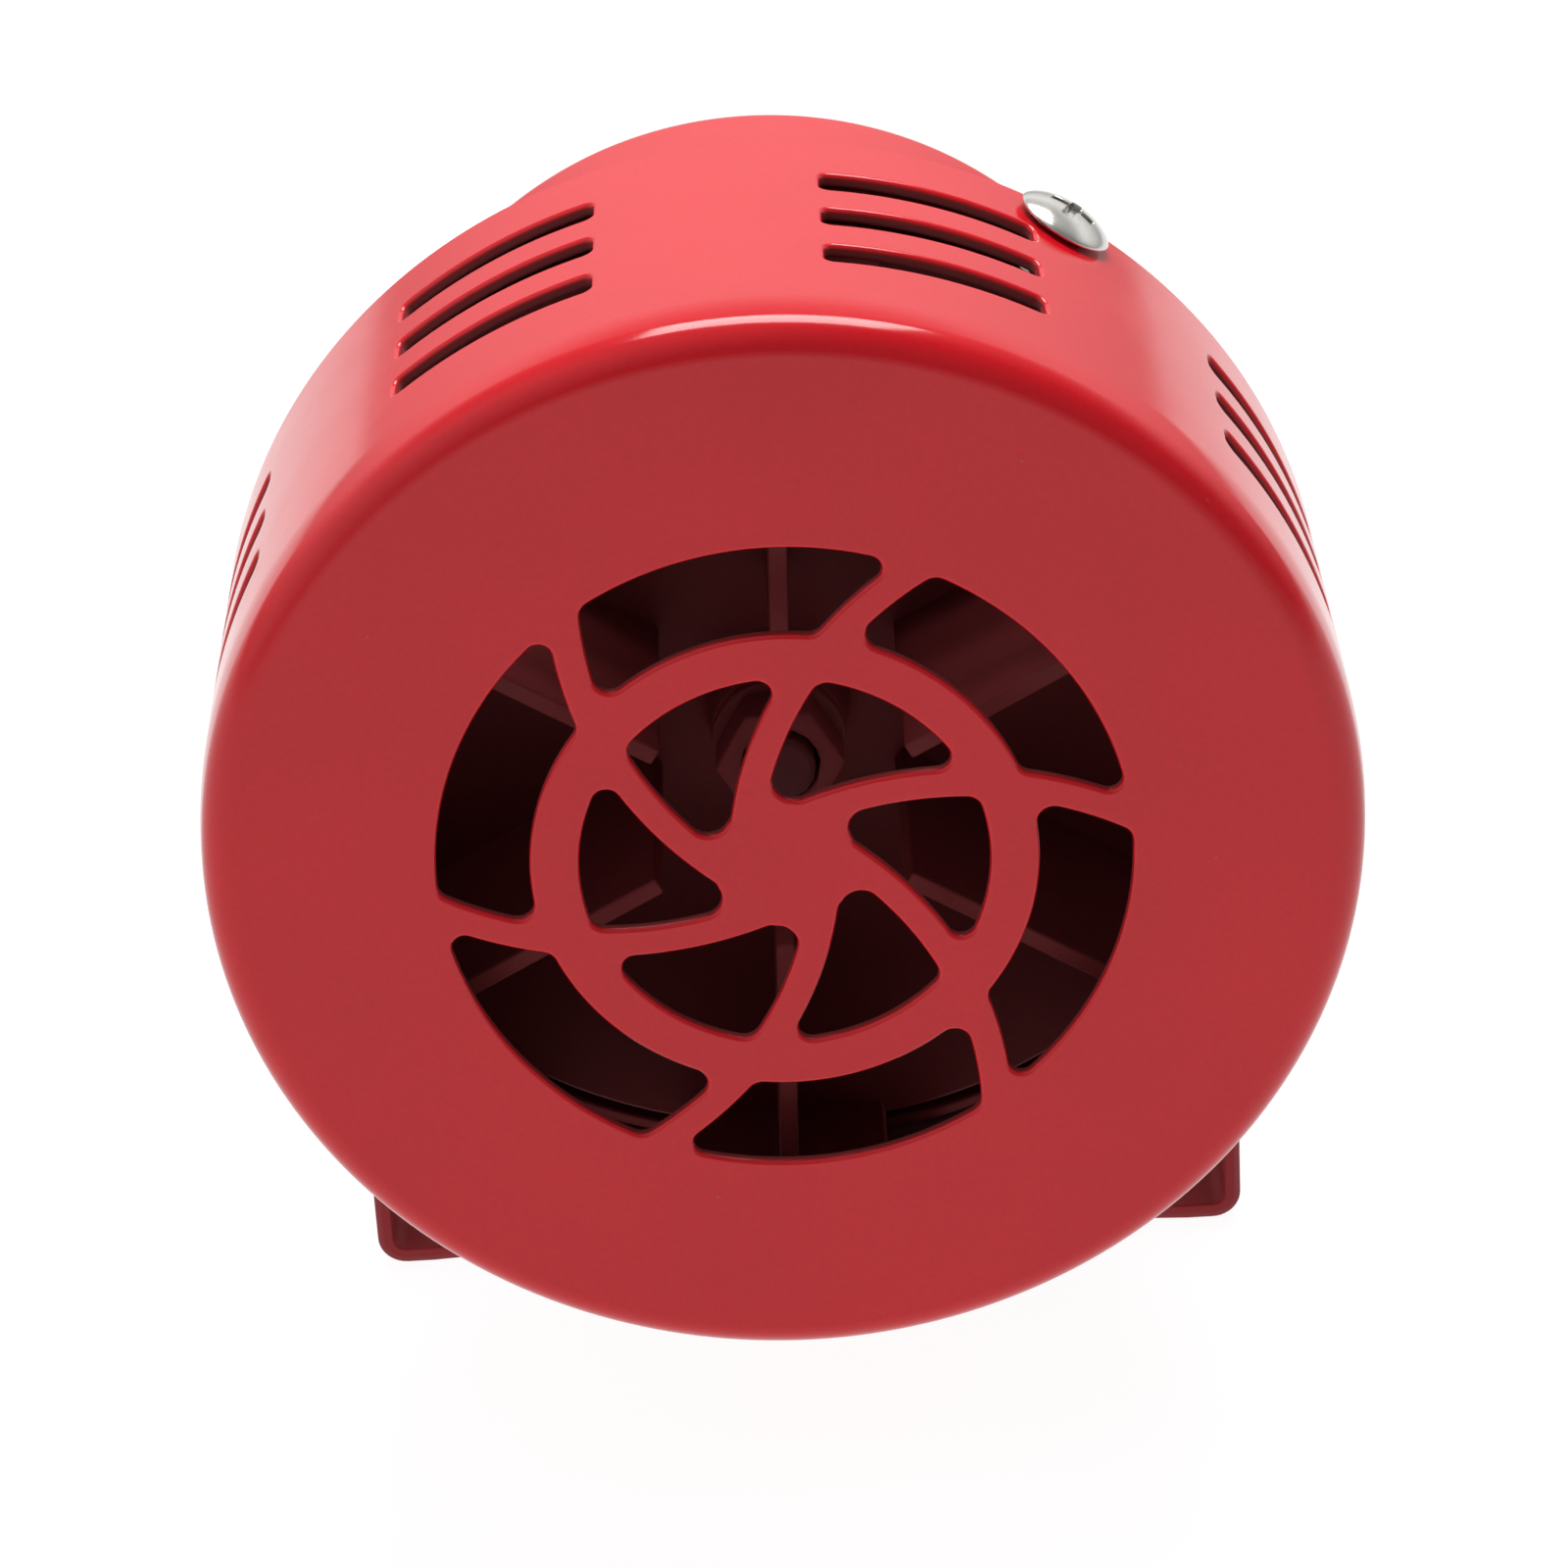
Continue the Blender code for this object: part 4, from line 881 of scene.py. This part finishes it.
def screws(material):
    seat = BRACKET_HALF_WIDTH + GAP + WASHER_THICKNESS + GAP
    nut_inner = CAN_RADIUS - SHEET - 3.9 * MM
    cover_screw = dome_screw(3.5 * MM, 1.35 * MM, 1.75 * MM, 5.0 * MM)
    can_screw = dome_screw(2.5 * MM, 1.5 * MM, 1.5 * MM, 3.8 * MM)
    pivot_screw = dome_screw(3.9 * MM, 2.0 * MM, 2.0 * MM, seat - nut_inner - 0.2 * MM)
    pieces = []
    for spin, (label, angle) in zip((12.0, -31.0), COVER_SCREW_ANGLES.items()):
        out = polar(1.0, angle)
        seat_place = out * (DRUM_RADIUS + GAP)
        place = FACE + Vector((seat_place.x, COVER_SCREW_DEPTH, seat_place.y))
        pieces.append((cover_screw, "cover_screw_" + label, aimed(place, (out.x, 0.0, out.y), spin)))
    for index, angle in enumerate(CAN_SCREW_ANGLES):
        out = polar(CAN_SCREW_CIRCLE, angle)
        place = FACE + Vector((out.x, CAN_FRONT + SHEET + GAP, out.y))
        name = "can_screw_" + str(index + 1)
        pieces.append((can_screw, name, aimed(place, (0, 1, 0), 20.0 + 37.0 * index)))
    for label, side in (("left", -1), ("right", 1)):
        place = TILT_CENTRE + Vector((side * seat, 0.0, 0.0))
        pieces.append((pivot_screw, "pivot_screw_" + label, aimed(place, (side, 0, 0), 20.0 * side + 7.0)))
    for skin, name, matrix in pieces:
        skin.finish(name + "_fine", material, matrix, "housing", "screw_plating", [name])


def ring_piece(name, material, slot, matrix, sizes, fillet, segments=72, span=360.0):
    """A round collar from (front, rear, inner, outer), with rounded edges."""
    front, rear, inner, outer = sizes
    corners = [(front, inner, fillet), (front, outer, fillet), (rear, outer, fillet), (rear, inner, fillet)]
    skin = Skin()
    rings = turned(skin, rounded_path(corners, closed=True), segments, span)
    if span != 360.0:
        for end, angle, sign in ((0, 0.0, -1.0), (-1, span, 1.0)):
            points = [skin.points[ring[end]] for ring in rings[:-1]]
            way = polar(1.0, angle)
            look = Vector((-way.y, 0.0, way.x)) * sign
            skin.faces.append(tuple(skin.add(point, look) for point in points))
    return skin.finish(name + "_fine", material, matrix, "housing", slot, [name])


def pivot_trim(plating, nylon):
    seat = BRACKET_HALF_WIDTH + GAP
    washer = (seat, seat + WASHER_THICKNESS, PIVOT_HOLE, 4.4 * MM)
    spacer = (CAN_RADIUS + GAP, BRACKET_HALF_WIDTH - BRACKET_SHEET - GAP, PIVOT_HOLE, 6.0 * MM)
    for label, side in (("left", -1), ("right", 1)):
        matrix = aimed(TILT_CENTRE, (side, 0, 0), 40.0)
        ring_piece("pivot_washer_" + label, plating, "screw_plating", matrix, washer, 0.12 * MM, span=354.0)
        ring_piece("pivot_spacer_" + label, nylon, "spacer_nylon", matrix, spacer, 0.25 * MM)


def grommet(material):
    neck = GROMMET_HOLE - GAP
    front = CAN_REAR - SHEET - GAP
    rear = CAN_REAR + GAP
    bore = 1.6 * MM
    corners = [(front - 1.2 * MM, bore, 0.2 * MM), (front - 1.2 * MM, 3.6 * MM, 0.4 * MM),
               (front, 4.2 * MM, 0.2 * MM), (front, neck, 0.1 * MM), (rear, neck, 0.1 * MM),
               (rear, 4.6 * MM, 0.25 * MM), (rear + 0.8 * MM, 4.6 * MM, 0.3 * MM),
               (rear + 1.6 * MM, 3.4 * MM, 0.4 * MM), (rear + 2.6 * MM, 2.8 * MM, 0.4 * MM),
               (rear + 2.6 * MM, bore, 0.25 * MM)]
    skin = Skin()
    turned(skin, rounded_path(corners, closed=True), 64)
    matrix = HOUSING @ Matrix.Translation((0.0, 0.0, GROMMET_HEIGHT))
    skin.finish("cable_grommet_fine", material, matrix, "housing", "grommet_rubber", ["cable_grommet"])


# == Chopper wheel

def plane_patch(depth):
    def patch(point):
        place = Vector((point.x, depth, point.y))
        return point.copy(), place, Vector((0, -1, 0)), Vector((1, 0, 0)), Vector((0, 0, 1))
    return patch


def vane_outline(angle):
    """A vane with its shutter: a T, its stem towards the hub."""
    half = VANE_THICKNESS / 2.0
    outer_radius = WHEEL_RADIUS - 0.05 * MM
    shutter_inner = WHEEL_RADIUS - 1.2 * MM
    stem_angle = math.degrees(math.asin(half / shutter_inner))
    end = WHEEL_SHUTTER_SPAN / 2.0
    sections = [arc((0, 0), outer_radius, -end, end, 24),
                line(polar(outer_radius, end), polar(shutter_inner, end), MM),
                arc((0, 0), shutter_inner, end, stem_angle, 12),
                line(polar(shutter_inner, stem_angle), (VANE_INNER, half), MM),
                line((VANE_INNER, half), (VANE_INNER, -half), 2 * MM),
                line((VANE_INNER, -half), polar(shutter_inner, -stem_angle), MM),
                arc((0, 0), shutter_inner, -stem_angle, -end, 12),
                line(polar(shutter_inner, -end), polar(outer_radius, -end), MM)]
    return rotated(rounded_outline(sections, 0.25 * MM, 4), angle)


def chopper_wheel(material):
    front, rear = WHEEL_DISC
    corners = [(HUB_FRONT, HUB_BORE, 0.3 * MM), (HUB_FRONT, 4.8 * MM, 0.4 * MM), (front, 5.2 * MM, 1.0 * MM),
               (front, WHEEL_RADIUS, 0.3 * MM), (rear, WHEEL_RADIUS, 0.3 * MM), (rear, HUB_BORE, 0.3 * MM)]
    skin = Skin()
    turned(skin, rounded_path(corners, closed=True), 160)
    for angle in around(WHEEL_VANES):
        outline = vane_outline(WHEEL_FIRST_ANGLE + angle)
        loop = Loop(outline, plane_patch(WHEEL_FRONT), True)
        pressed(skin, [loop], [], front + VANE_ROOT - WHEEL_FRONT, CUT_ROUNDING)
    return skin.finish("chopper_wheel_fine", material, HOUSING, "rotor", "wheel_paint", ["chopper_wheel"])


# == Finishes

class Wiring:
    """Adds and joins the nodes of a material or a world."""

    def __init__(self, tree):
        self.nodes = tree.nodes
        self.links = tree.links

    def feed(self, socket, value):
        """Join another node's output to a socket, or set the socket's own value."""
        if isinstance(value, bpy.types.NodeSocket):
            self.links.new(value, socket)
        elif isinstance(value, tuple) and socket.type == "RGBA":
            socket.default_value = (*value, 1.0)
        else:
            socket.default_value = value

    def node(self, kind, settings=None, **values):
        """Add a node; a socket's name is given with _ for each space."""
        node = self.nodes.new("ShaderNode" + kind)
        for key, value in (settings or {}).items():
            setattr(node, key, value)
        for key, value in values.items():
            self.feed(node.inputs[key.replace("_", " ")], value)
        return node

    def ramp(self, value, low, high, start=0.0, end=1.0):
        """Map a value's range low to high onto start to end, held at the ends."""
        node = self.node("MapRange", Value=value, From_Min=low, From_Max=high, To_Min=start, To_Max=end)
        return node.outputs["Result"]

    def math(self, operation, first, second=0.0):
        node = self.node("Math", {"operation": operation})
        self.feed(node.inputs[0], first)
        self.feed(node.inputs[1], second)
        return node.outputs[0]


class Finish(Wiring):
    """A Principled material."""

    def __init__(self, name, **sockets):
        self.material = bpy.data.materials.new(name)
        self.material.use_nodes = True
        super().__init__(self.material.node_tree)
        self.shader = self.nodes["Principled BSDF"]
        for socket, value in sockets.items():
            self.shader.inputs[socket.replace("_", " ")].default_value = value
        self.place = self.node("TexCoord").outputs["Object"]

    def noise(self, scale, detail=2.0, roughness=0.5, distortion=0.0, place=None):
        return self.node("TexNoise", Scale=scale, Detail=detail, Roughness=roughness, Distortion=distortion,
                         Vector=place or self.place).outputs["Fac"]

    def cloud(self, noise, low, high, start=0.0, end=1.0):
        """Soft patches: a noise with its range stretched."""
        return self.ramp(self.noise(*noise), low, high, start, end)

    def stretched(self, x, y, z):
        return self.node("Mapping", Vector=self.place, Scale=(x, y, z)).outputs["Vector"]

    def bands(self, direction, scale, distortion, detail, detail_scale):
        return self.node("TexWave", {"wave_type": "BANDS", "bands_direction": direction}, Scale=scale,
                         Distortion=distortion, Detail=detail, Detail_Scale=detail_scale,
                         Vector=self.place).outputs["Fac"]

    def stored(self, label):
        """A value that the mesh holds for each point."""
        return self.node("Attribute", {"attribute_name": label}).outputs["Fac"]

    def blend(self, share, first, second):
        node = self.node("Mix", {"data_type": "RGBA"})
        for index, value in ((0, share), (6, first), (7, second)):
            self.feed(node.inputs[index], value)
        return node.outputs[2]

    def cover(self, base, mask, strength, colour):
        """Lay a colour over the base where the mask is 1, at a strength."""
        return self.blend(self.math("MULTIPLY", mask, strength), base, colour)

    def finished(self, base, roughness, height, distance, strength, after=None):
        """Join the colour, the roughness and a bump to the shader. Returns the material."""
        self.links.new(base, self.shader.inputs["Base Color"])
        self.links.new(roughness, self.shader.inputs["Roughness"])
        bump = self.node("Bump", Strength=strength, Distance=distance, Height=height)
        if after is not None:
            self.links.new(after, bump.inputs["Normal"])
        self.links.new(bump.outputs["Normal"], self.shader.inputs["Normal"])
        return self.material


def scaled(colour, factor, lift=0.0):
    return tuple(factor * channel + lift for channel in colour)


def enamel(name, colour, inside_shade, roughness=0.14, gloss=0.5, edge_wear_and_shade=1.25):
    """Sprayed enamel on steel: faint orange peel, tiny specks, edges lighter where the paint is thinner; an
    edge factor below 1 darkens the edges instead, as painted shade.

    The inner side of the sheet and its cut walls take the given dark colour: painted shade for the dim
    inside.
    """
    finish = Finish(name, IOR=1.43, Specular_IOR_Level=gloss)
    base = finish.blend(finish.cloud((60.0, 3.0), 0.3, 0.7), scaled(colour, 0.93), colour)
    base = finish.cover(base, finish.cloud((2400.0, 3.0, 0.6), 0.42, 0.75), 0.22, scaled(colour, 0.6))
    cells = finish.node("TexVoronoi", Scale=300.0, Vector=finish.place).outputs["Distance"]
    dust = finish.ramp(cells, 0.055, 0.02)
    specks = finish.math("MULTIPLY", dust, finish.cloud((150.0, 2.0), 0.50, 0.56))
    base = finish.cover(base, specks, 0.5, scaled(colour, 0.6, 0.05))
    # Edges: thinner paint for a factor above 1, painted shade over edges that catch light for a factor below
    # 1.
    edge = finish.math("MULTIPLY", finish.stored("edge_wear"), finish.cloud((700.0, 4.0, 0.7), 0.40, 0.75))
    base = finish.cover(base, edge, 0.35, scaled(colour, edge_wear_and_shade, 0.01))
    # Painted shade: the inner side and the cut walls blend to the dark inside colour.
    inner = finish.ramp(finish.stored("inner_side"), 0.18, 0.45)
    sheen = finish.cloud((160.0, 4.0, 0.6), 0.3, 0.7, roughness - 0.03, roughness + 0.04)
    dull = finish.math("ADD", finish.math("MULTIPLY", specks, 0.2), finish.math("MULTIPLY", inner, 0.5))
    broad = finish.math("MULTIPLY", finish.noise(140.0, 1.0), 1.2)
    peel = finish.node("Bump", Height=finish.math("ADD", finish.noise(620.0, 2.0), broad), Strength=0.5,
                       Distance=0.006 * MM).outputs["Normal"]
    return finish.finished(finish.blend(inner, base, inside_shade), finish.math("ADD", sheen, dull), dust,
                           0.006 * MM, 0.1, peel)


def plated(name, colour, roughness=0.22):
    """Bright plating: faint drawn streaks, cloudy patches, a little grime."""
    finish = Finish(name, Metallic=1.0)
    drawn = finish.noise(1.0, 3.0, 0.6, place=finish.stretched(600.0, 40.0, 600.0))
    base = finish.blend(finish.cloud((260.0, 4.0, 0.6), 0.35, 0.7), scaled(colour, 0.82), colour)
    grime = finish.cloud((480.0, 5.0, 0.7, 0.4), 0.58, 0.78)
    dulled = finish.ramp(finish.math("ADD", drawn, grime), 0.3, 1.5, roughness - 0.04, roughness + 0.18)
    return finish.finished(finish.cover(base, grime, 0.35, scaled(colour, 0.45)), dulled,
                           finish.math("ADD", drawn, finish.noise(1500.0, 3.0)), 0.006 * MM, 0.5)


def laminated(name, colour):
    """A stack of thin punched sheets, blued by heat, with a trace of rust between them."""
    finish = Finish(name, Metallic=0.85)
    wave = finish.bands("Y", 315.0, 0.4, 1.0, 2.0)
    base = finish.blend(finish.ramp(wave, 0.1, 0.6), scaled(colour, 0.25), colour)
    base = finish.cover(base, finish.cloud((220.0, 3.0), 0.4, 0.65), 0.5, (0.07, 0.10, 0.17))
    base = finish.cover(base, finish.cloud((600.0, 5.0, 0.7), 0.62, 0.74), 0.4, (0.16, 0.07, 0.03))
    return finish.finished(base, finish.cloud((400.0, 3.0), 0.3, 0.7, 0.42, 0.6), wave, 0.06 * MM, 0.7)


def wound(name, colour):
    """Layers of enamelled copper wire."""
    finish = Finish(name, Metallic=0.9, Coat_Weight=0.5, Coat_Roughness=0.15)
    wave = finish.bands("DIAGONAL", 420.0, 1.2, 2.0, 1.5)
    base = finish.blend(finish.ramp(wave, 0.05, 0.6), scaled(colour, 0.3), colour)
    base = finish.cover(base, finish.cloud((300.0, 3.0), 0.4, 0.7), 0.5, (0.22, 0.07, 0.03))
    return finish.finished(base, finish.cloud((500.0, 2.0), 0.3, 0.7, 0.28, 0.45), wave, 0.12 * MM, 0.8)


def moulded(name, colour, roughness, grain=900.0, sheen=0.0, dust=0.06, gloss=0.5):
    """Moulded nylon, rubber or carbon: fine grain with dull and shiny patches."""
    finish = Finish(name, Sheen_Weight=sheen, Sheen_Roughness=0.4, Specular_IOR_Level=gloss)
    base = finish.blend(finish.cloud((200.0, 3.0), 0.35, 0.7), scaled(colour, 0.75), colour)
    base = finish.cover(base, finish.cloud((1400.0, 4.0, 0.7), 0.6, 0.75), 0.25, scaled(colour, 1.0, dust))
    return finish.finished(base, finish.cloud((350.0, 3.0), 0.3, 0.7, roughness - 0.08, roughness + 0.08),
                           finish.noise(grain, 4.0, 0.65), 0.02 * MM, 0.6)


def segmented(name, colour):
    """A commutator: copper bars round an axle with dark slots between, polished by the brushes."""
    finish = Finish(name, Metallic=1.0)
    axis_place = finish.node("Mapping", Vector=finish.place, Location=(0.0, 0.0, -FACE.z)).outputs["Vector"]
    split = finish.node("SeparateXYZ", Vector=axis_place)
    angle = finish.math("ARCTAN2", split.outputs["Z"], split.outputs["X"])
    bars = finish.math("SINE", finish.math("MULTIPLY", angle, 8.0))
    slots = finish.ramp(finish.math("ABSOLUTE", bars), 0.06, 0.16)
    base = finish.blend(slots, (0.03, 0.02, 0.015), colour)
    track = finish.ramp(finish.noise(1.0, 3.0, place=finish.stretched(80.0, 2600.0, 80.0)), 0.4, 0.7)
    return finish.finished(finish.cover(base, track, 0.4, scaled(colour, 0.5)),
                           finish.ramp(track, 0.0, 1.0, 0.2, 0.42), slots, 0.08 * MM, 0.8)


def dress(node, material, bevel=0.12 * MM):
    """Give a CAD node its finish and soften its edges."""
    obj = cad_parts[node]
    obj.data.materials.clear()
    obj.data.materials.append(material)
    obj.data.shade_smooth()
    weld = obj.modifiers.new("weld", "WELD")
    weld.merge_threshold = 0.002 * MM
    soften = obj.modifiers.new("soften", "BEVEL")
    soften.width = bevel
    soften.segments = 2
    soften.limit_method = "ANGLE"
    soften.angle_limit = math.radians(40.0)
    soften.harden_normals = True


def dress_motor(plating, wheel_paint):
    # The motor shaft takes a dark maroon: painted shade, so that its end stays dark inside the drum.
    steel = moulded("shaft_painted_shade", (0.12, 0.020, 0.022), 0.55, dust=0.01, gloss=0.15)
    bearing = plated("bearing_steel_look", (0.66, 0.66, 0.66), 0.16)
    zinc = plated("zinc_tube", (0.55, 0.57, 0.58), 0.34)
    pressed_steel = plated("pressed_end_frame", (0.50, 0.50, 0.49), 0.38)
    brass = plated("holder_brass_look", (0.72, 0.50, 0.20), 0.28)
    core = laminated("lamination_look", (0.22, 0.22, 0.24))
    copper = wound("winding_look", (0.75, 0.26, 0.10))
    bars = segmented("commutator_look", (0.86, 0.44, 0.26))
    carbon = moulded("brush_carbon_look", (0.035, 0.035, 0.038), 0.48, 1600.0)
    dress("motor_shaft", steel, 0.1 * MM)
    dress("rear_end_frame", pressed_steel)
    for label in ("front", "rear"):
        dress(label + "_bearing", bearing, 0.25 * MM)
        for half in ("upper", "lower"):
            dress("spacer_tube_" + label + "_" + half, zinc)
    for half in ("upper", "lower"):
        dress("through_bolt_" + half, plating, 0.08 * MM)
        dress("field_coil_" + half, copper, 0.5 * MM)
    dress("stator_stack", core, 0.1 * MM)
    dress("armature_core", core, 0.1 * MM)
    dress("armature_windings", copper, 0.3 * MM)
    dress("commutator", bars)
    # The wheel's nut and washer take the wheel's dark maroon: painted shade inside the drum.
    dress("wheel_nut", wheel_paint, 0.2 * MM)
    dress("wheel_washer", wheel_paint)
    for label in ("left", "right"):
        dress("brush_holder_" + label, brass)
        dress("brush_" + label, carbon)
        dress("pivot_nut_" + label, plating, 0.2 * MM)


def brush_springs(material):
    """Coils of round wire, pressed against their outer ends, built at rest with a mesh each."""
    steps = 20 * SPRING_TURNS
    sides = 12
    start, end = SPRING_ENDS
    for label, side in (("left", -1.0), ("right", 1.0)):
        skin = Skin()
        rings = []
        for index in range(steps + 1):
            turn = math.tau * SPRING_TURNS * index / steps
            radial = Vector((0.0, math.cos(turn), math.sin(turn)))
            centre = Vector((side * (start + (end - start) * index / steps), BRUSH_DEPTH, 0.0))
            centre += radial * SPRING_RADIUS
            ring = []
            for corner in range(sides):
                angle = math.tau * corner / sides
                out = radial * math.cos(angle) + Vector((math.sin(angle), 0.0, 0.0))
                ring.append(skin.add(centre + out * SPRING_WIRE, out))
            if index in (0, steps):
                ahead = Vector((0.0, 0.0, 1.0 if index else -1.0))
                pole = skin.add(centre + ahead * 0.5 * SPRING_WIRE, ahead)
                skin.bridge([pole] * sides, ring)
            rings.append(ring)
        skin.bridge(*rings)
        node = "brush_spring_" + label
        coil = skin.finish("coil_" + label, material, HOUSING, "housing", "spring_steel", (node,))
        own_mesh(coil)


# == Studio

GLOW_RADIUS = 1.4


def stage_floor():
    """A pale floor with a wide pool of brightness round and behind the siren."""
    bm = bmesh.new()
    bmesh.ops.create_grid(bm, x_segments=1, y_segments=1, size=6.0)
    mesh = bpy.data.meshes.new("floor")
    bm.to_mesh(mesh)
    bm.free()
    finish = Finish("floor_paper", Roughness=0.9, Emission_Color=(1.0, 1.0, 1.0, 1.0))
    paper = finish.blend(finish.cloud((40.0, 2.0), 0.3, 0.7), (0.10, 0.10, 0.10), (0.11, 0.11, 0.11))
    finish.links.new(paper, finish.shader.inputs["Base Color"])
    from_middle = finish.node("Mapping", Vector=finish.place, Location=(0.15, -1.15, 0.0)).outputs["Vector"]
    distance = finish.node("VectorMath", {"operation": "LENGTH"}, Vector=from_middle).outputs["Value"]
    glow = finish.ramp(distance, GLOW_RADIUS, 1.25 * GLOW_RADIUS, 0.93, 0.45)
    finish.links.new(glow, finish.shader.inputs["Emission Strength"])
    mesh.materials.append(finish.material)
    floor = bpy.data.objects.new("floor", mesh)
    floor.location = (0.0, 0.0, -0.05 * MM)
    bpy.context.scene.collection.objects.link(floor)


def surroundings():
    """A room that is dim in front and brighter behind, more so with height."""
    world = bpy.data.worlds.new("studio")
    world.use_nodes = True
    wiring = Wiring(world.node_tree)
    split = wiring.node("SeparateXYZ", Vector=wiring.node("TexCoord").outputs["Generated"])
    across, back, height = (split.outputs[axis] for axis in "XYZ")
    left = wiring.math("MULTIPLY", across, -0.85)
    upper_left = wiring.math("ADD", left, wiring.math("MULTIPLY", height, 0.5))
    front = wiring.ramp(upper_left, 0.2, 1.0, 0.28, 1.05)
    low_rear = wiring.ramp(height, 0.0, 0.4, 0.42, 1.15)
    rear = wiring.math("SUBTRACT", low_rear, wiring.ramp(height, 0.45, 0.65, 0.0, 0.6))
    mix = wiring.node("Mix")
    for index, value in enumerate((wiring.ramp(back, -0.25, 0.30), None, front, rear)):
        if value is not None:
            wiring.feed(mix.inputs[index], value)
    background = wiring.nodes["Background"]
    wiring.feed(background.inputs["Strength"], mix.outputs[0])
    wiring.feed(background.inputs["Color"], (1.0, 1.0, 1.0))
    bpy.context.scene.world = world


def overhead_light():
    """One soft light over the siren, a little behind it and to its right."""
    middle = Vector((0.0, -0.02, 0.06))
    tilt = math.radians(19.0)
    lean = math.radians(3.0)
    up = Vector((math.sin(lean), math.sin(tilt), math.cos(tilt)))
    data = bpy.data.lights.new("overhead", "AREA")
    data.shape = "RECTANGLE"
    data.size = 0.40
    data.size_y = 0.33
    data.energy = 4.8
    light = bpy.data.objects.new("overhead", data)
    light.location = middle + up * 0.62
    light.rotation_mode = "QUATERNION"
    light.rotation_quaternion = (-up).to_track_quat("-Z", "Y")
    bpy.context.scene.collection.objects.link(light)


def camera():
    """The view from the front and above, aimed a little over the middle of the drum's face."""
    aim = FACE + Vector((0.26 * MM, 0.0, 6.2 * MM))
    azimuth = math.radians(0.36)
    elevation = math.radians(27.83)
    roll = math.radians(-3.4)
    distance = 370.8 * MM
    back = Vector((math.sin(azimuth) * math.cos(elevation), -math.cos(azimuth) * math.cos(elevation),
                   math.sin(elevation)))
    data = bpy.data.cameras.new("camera")
    data.sensor_width = 36.0
    data.lens = 126.05
    data.clip_start = 0.02
    data.clip_end = 50.0
    obj = bpy.data.objects.new("camera", data)
    obj.location = aim + back * distance
    obj.rotation_mode = "QUATERNION"
    obj.rotation_quaternion = (-back).to_track_quat("-Z", "Y") @ Quaternion((0, 0, 1), roll)
    bpy.context.scene.collection.objects.link(obj)
    bpy.context.scene.camera = obj


# == Everything

red = (0.57, 0.003, 0.010)
# Dark maroon for the inner sides, the chopper wheel and the plate: painted shade for the dim inside of the
# drum.
interior_shade_maroon = (0.20, 0.028, 0.030)
drum_paint = enamel("drum_enamel", red, interior_shade_maroon)
can_paint = enamel("can_enamel", red, interior_shade_maroon)
# Deep red, darkened further as painted shade for the bracket under the drum.
shaded_deep_red = (0.24, 0.008, 0.012)
bracket_paint = enamel("bracket_enamel", shaded_deep_red, shaded_deep_red, 0.2)
# The wheel's vane edges are darkened as painted shade over the light they catch.
wheel_paint = enamel("wheel_shade_enamel", interior_shade_maroon, interior_shade_maroon, 0.5, gloss=0.15, edge_wear_and_shade=0.6)
plating = plated("screw_plating_look", (0.72, 0.70, 0.66), 0.2)
nylon = moulded("spacer_nylon_look", (0.05, 0.05, 0.05), 0.42)
rubber = moulded("grommet_rubber_look", (0.018, 0.018, 0.018), 0.6, 1400.0, sheen=0.1)

drum(drum_paint)
can(can_paint)
# The plate takes the wheel's dark maroon: painted shade behind the drum's slots.
bulkhead(wheel_paint)
bracket(bracket_paint)
screws(plating)
pivot_trim(plating, nylon)
grommet(rubber)
chopper_wheel(wheel_paint)
dress_motor(plating, wheel_paint)
brush_springs(plated("spring_wire", (0.55, 0.55, 0.55), 0.24))
stage_floor()
surroundings()
overhead_light()
camera()
bpy.context.scene.view_settings.view_transform = "Standard"
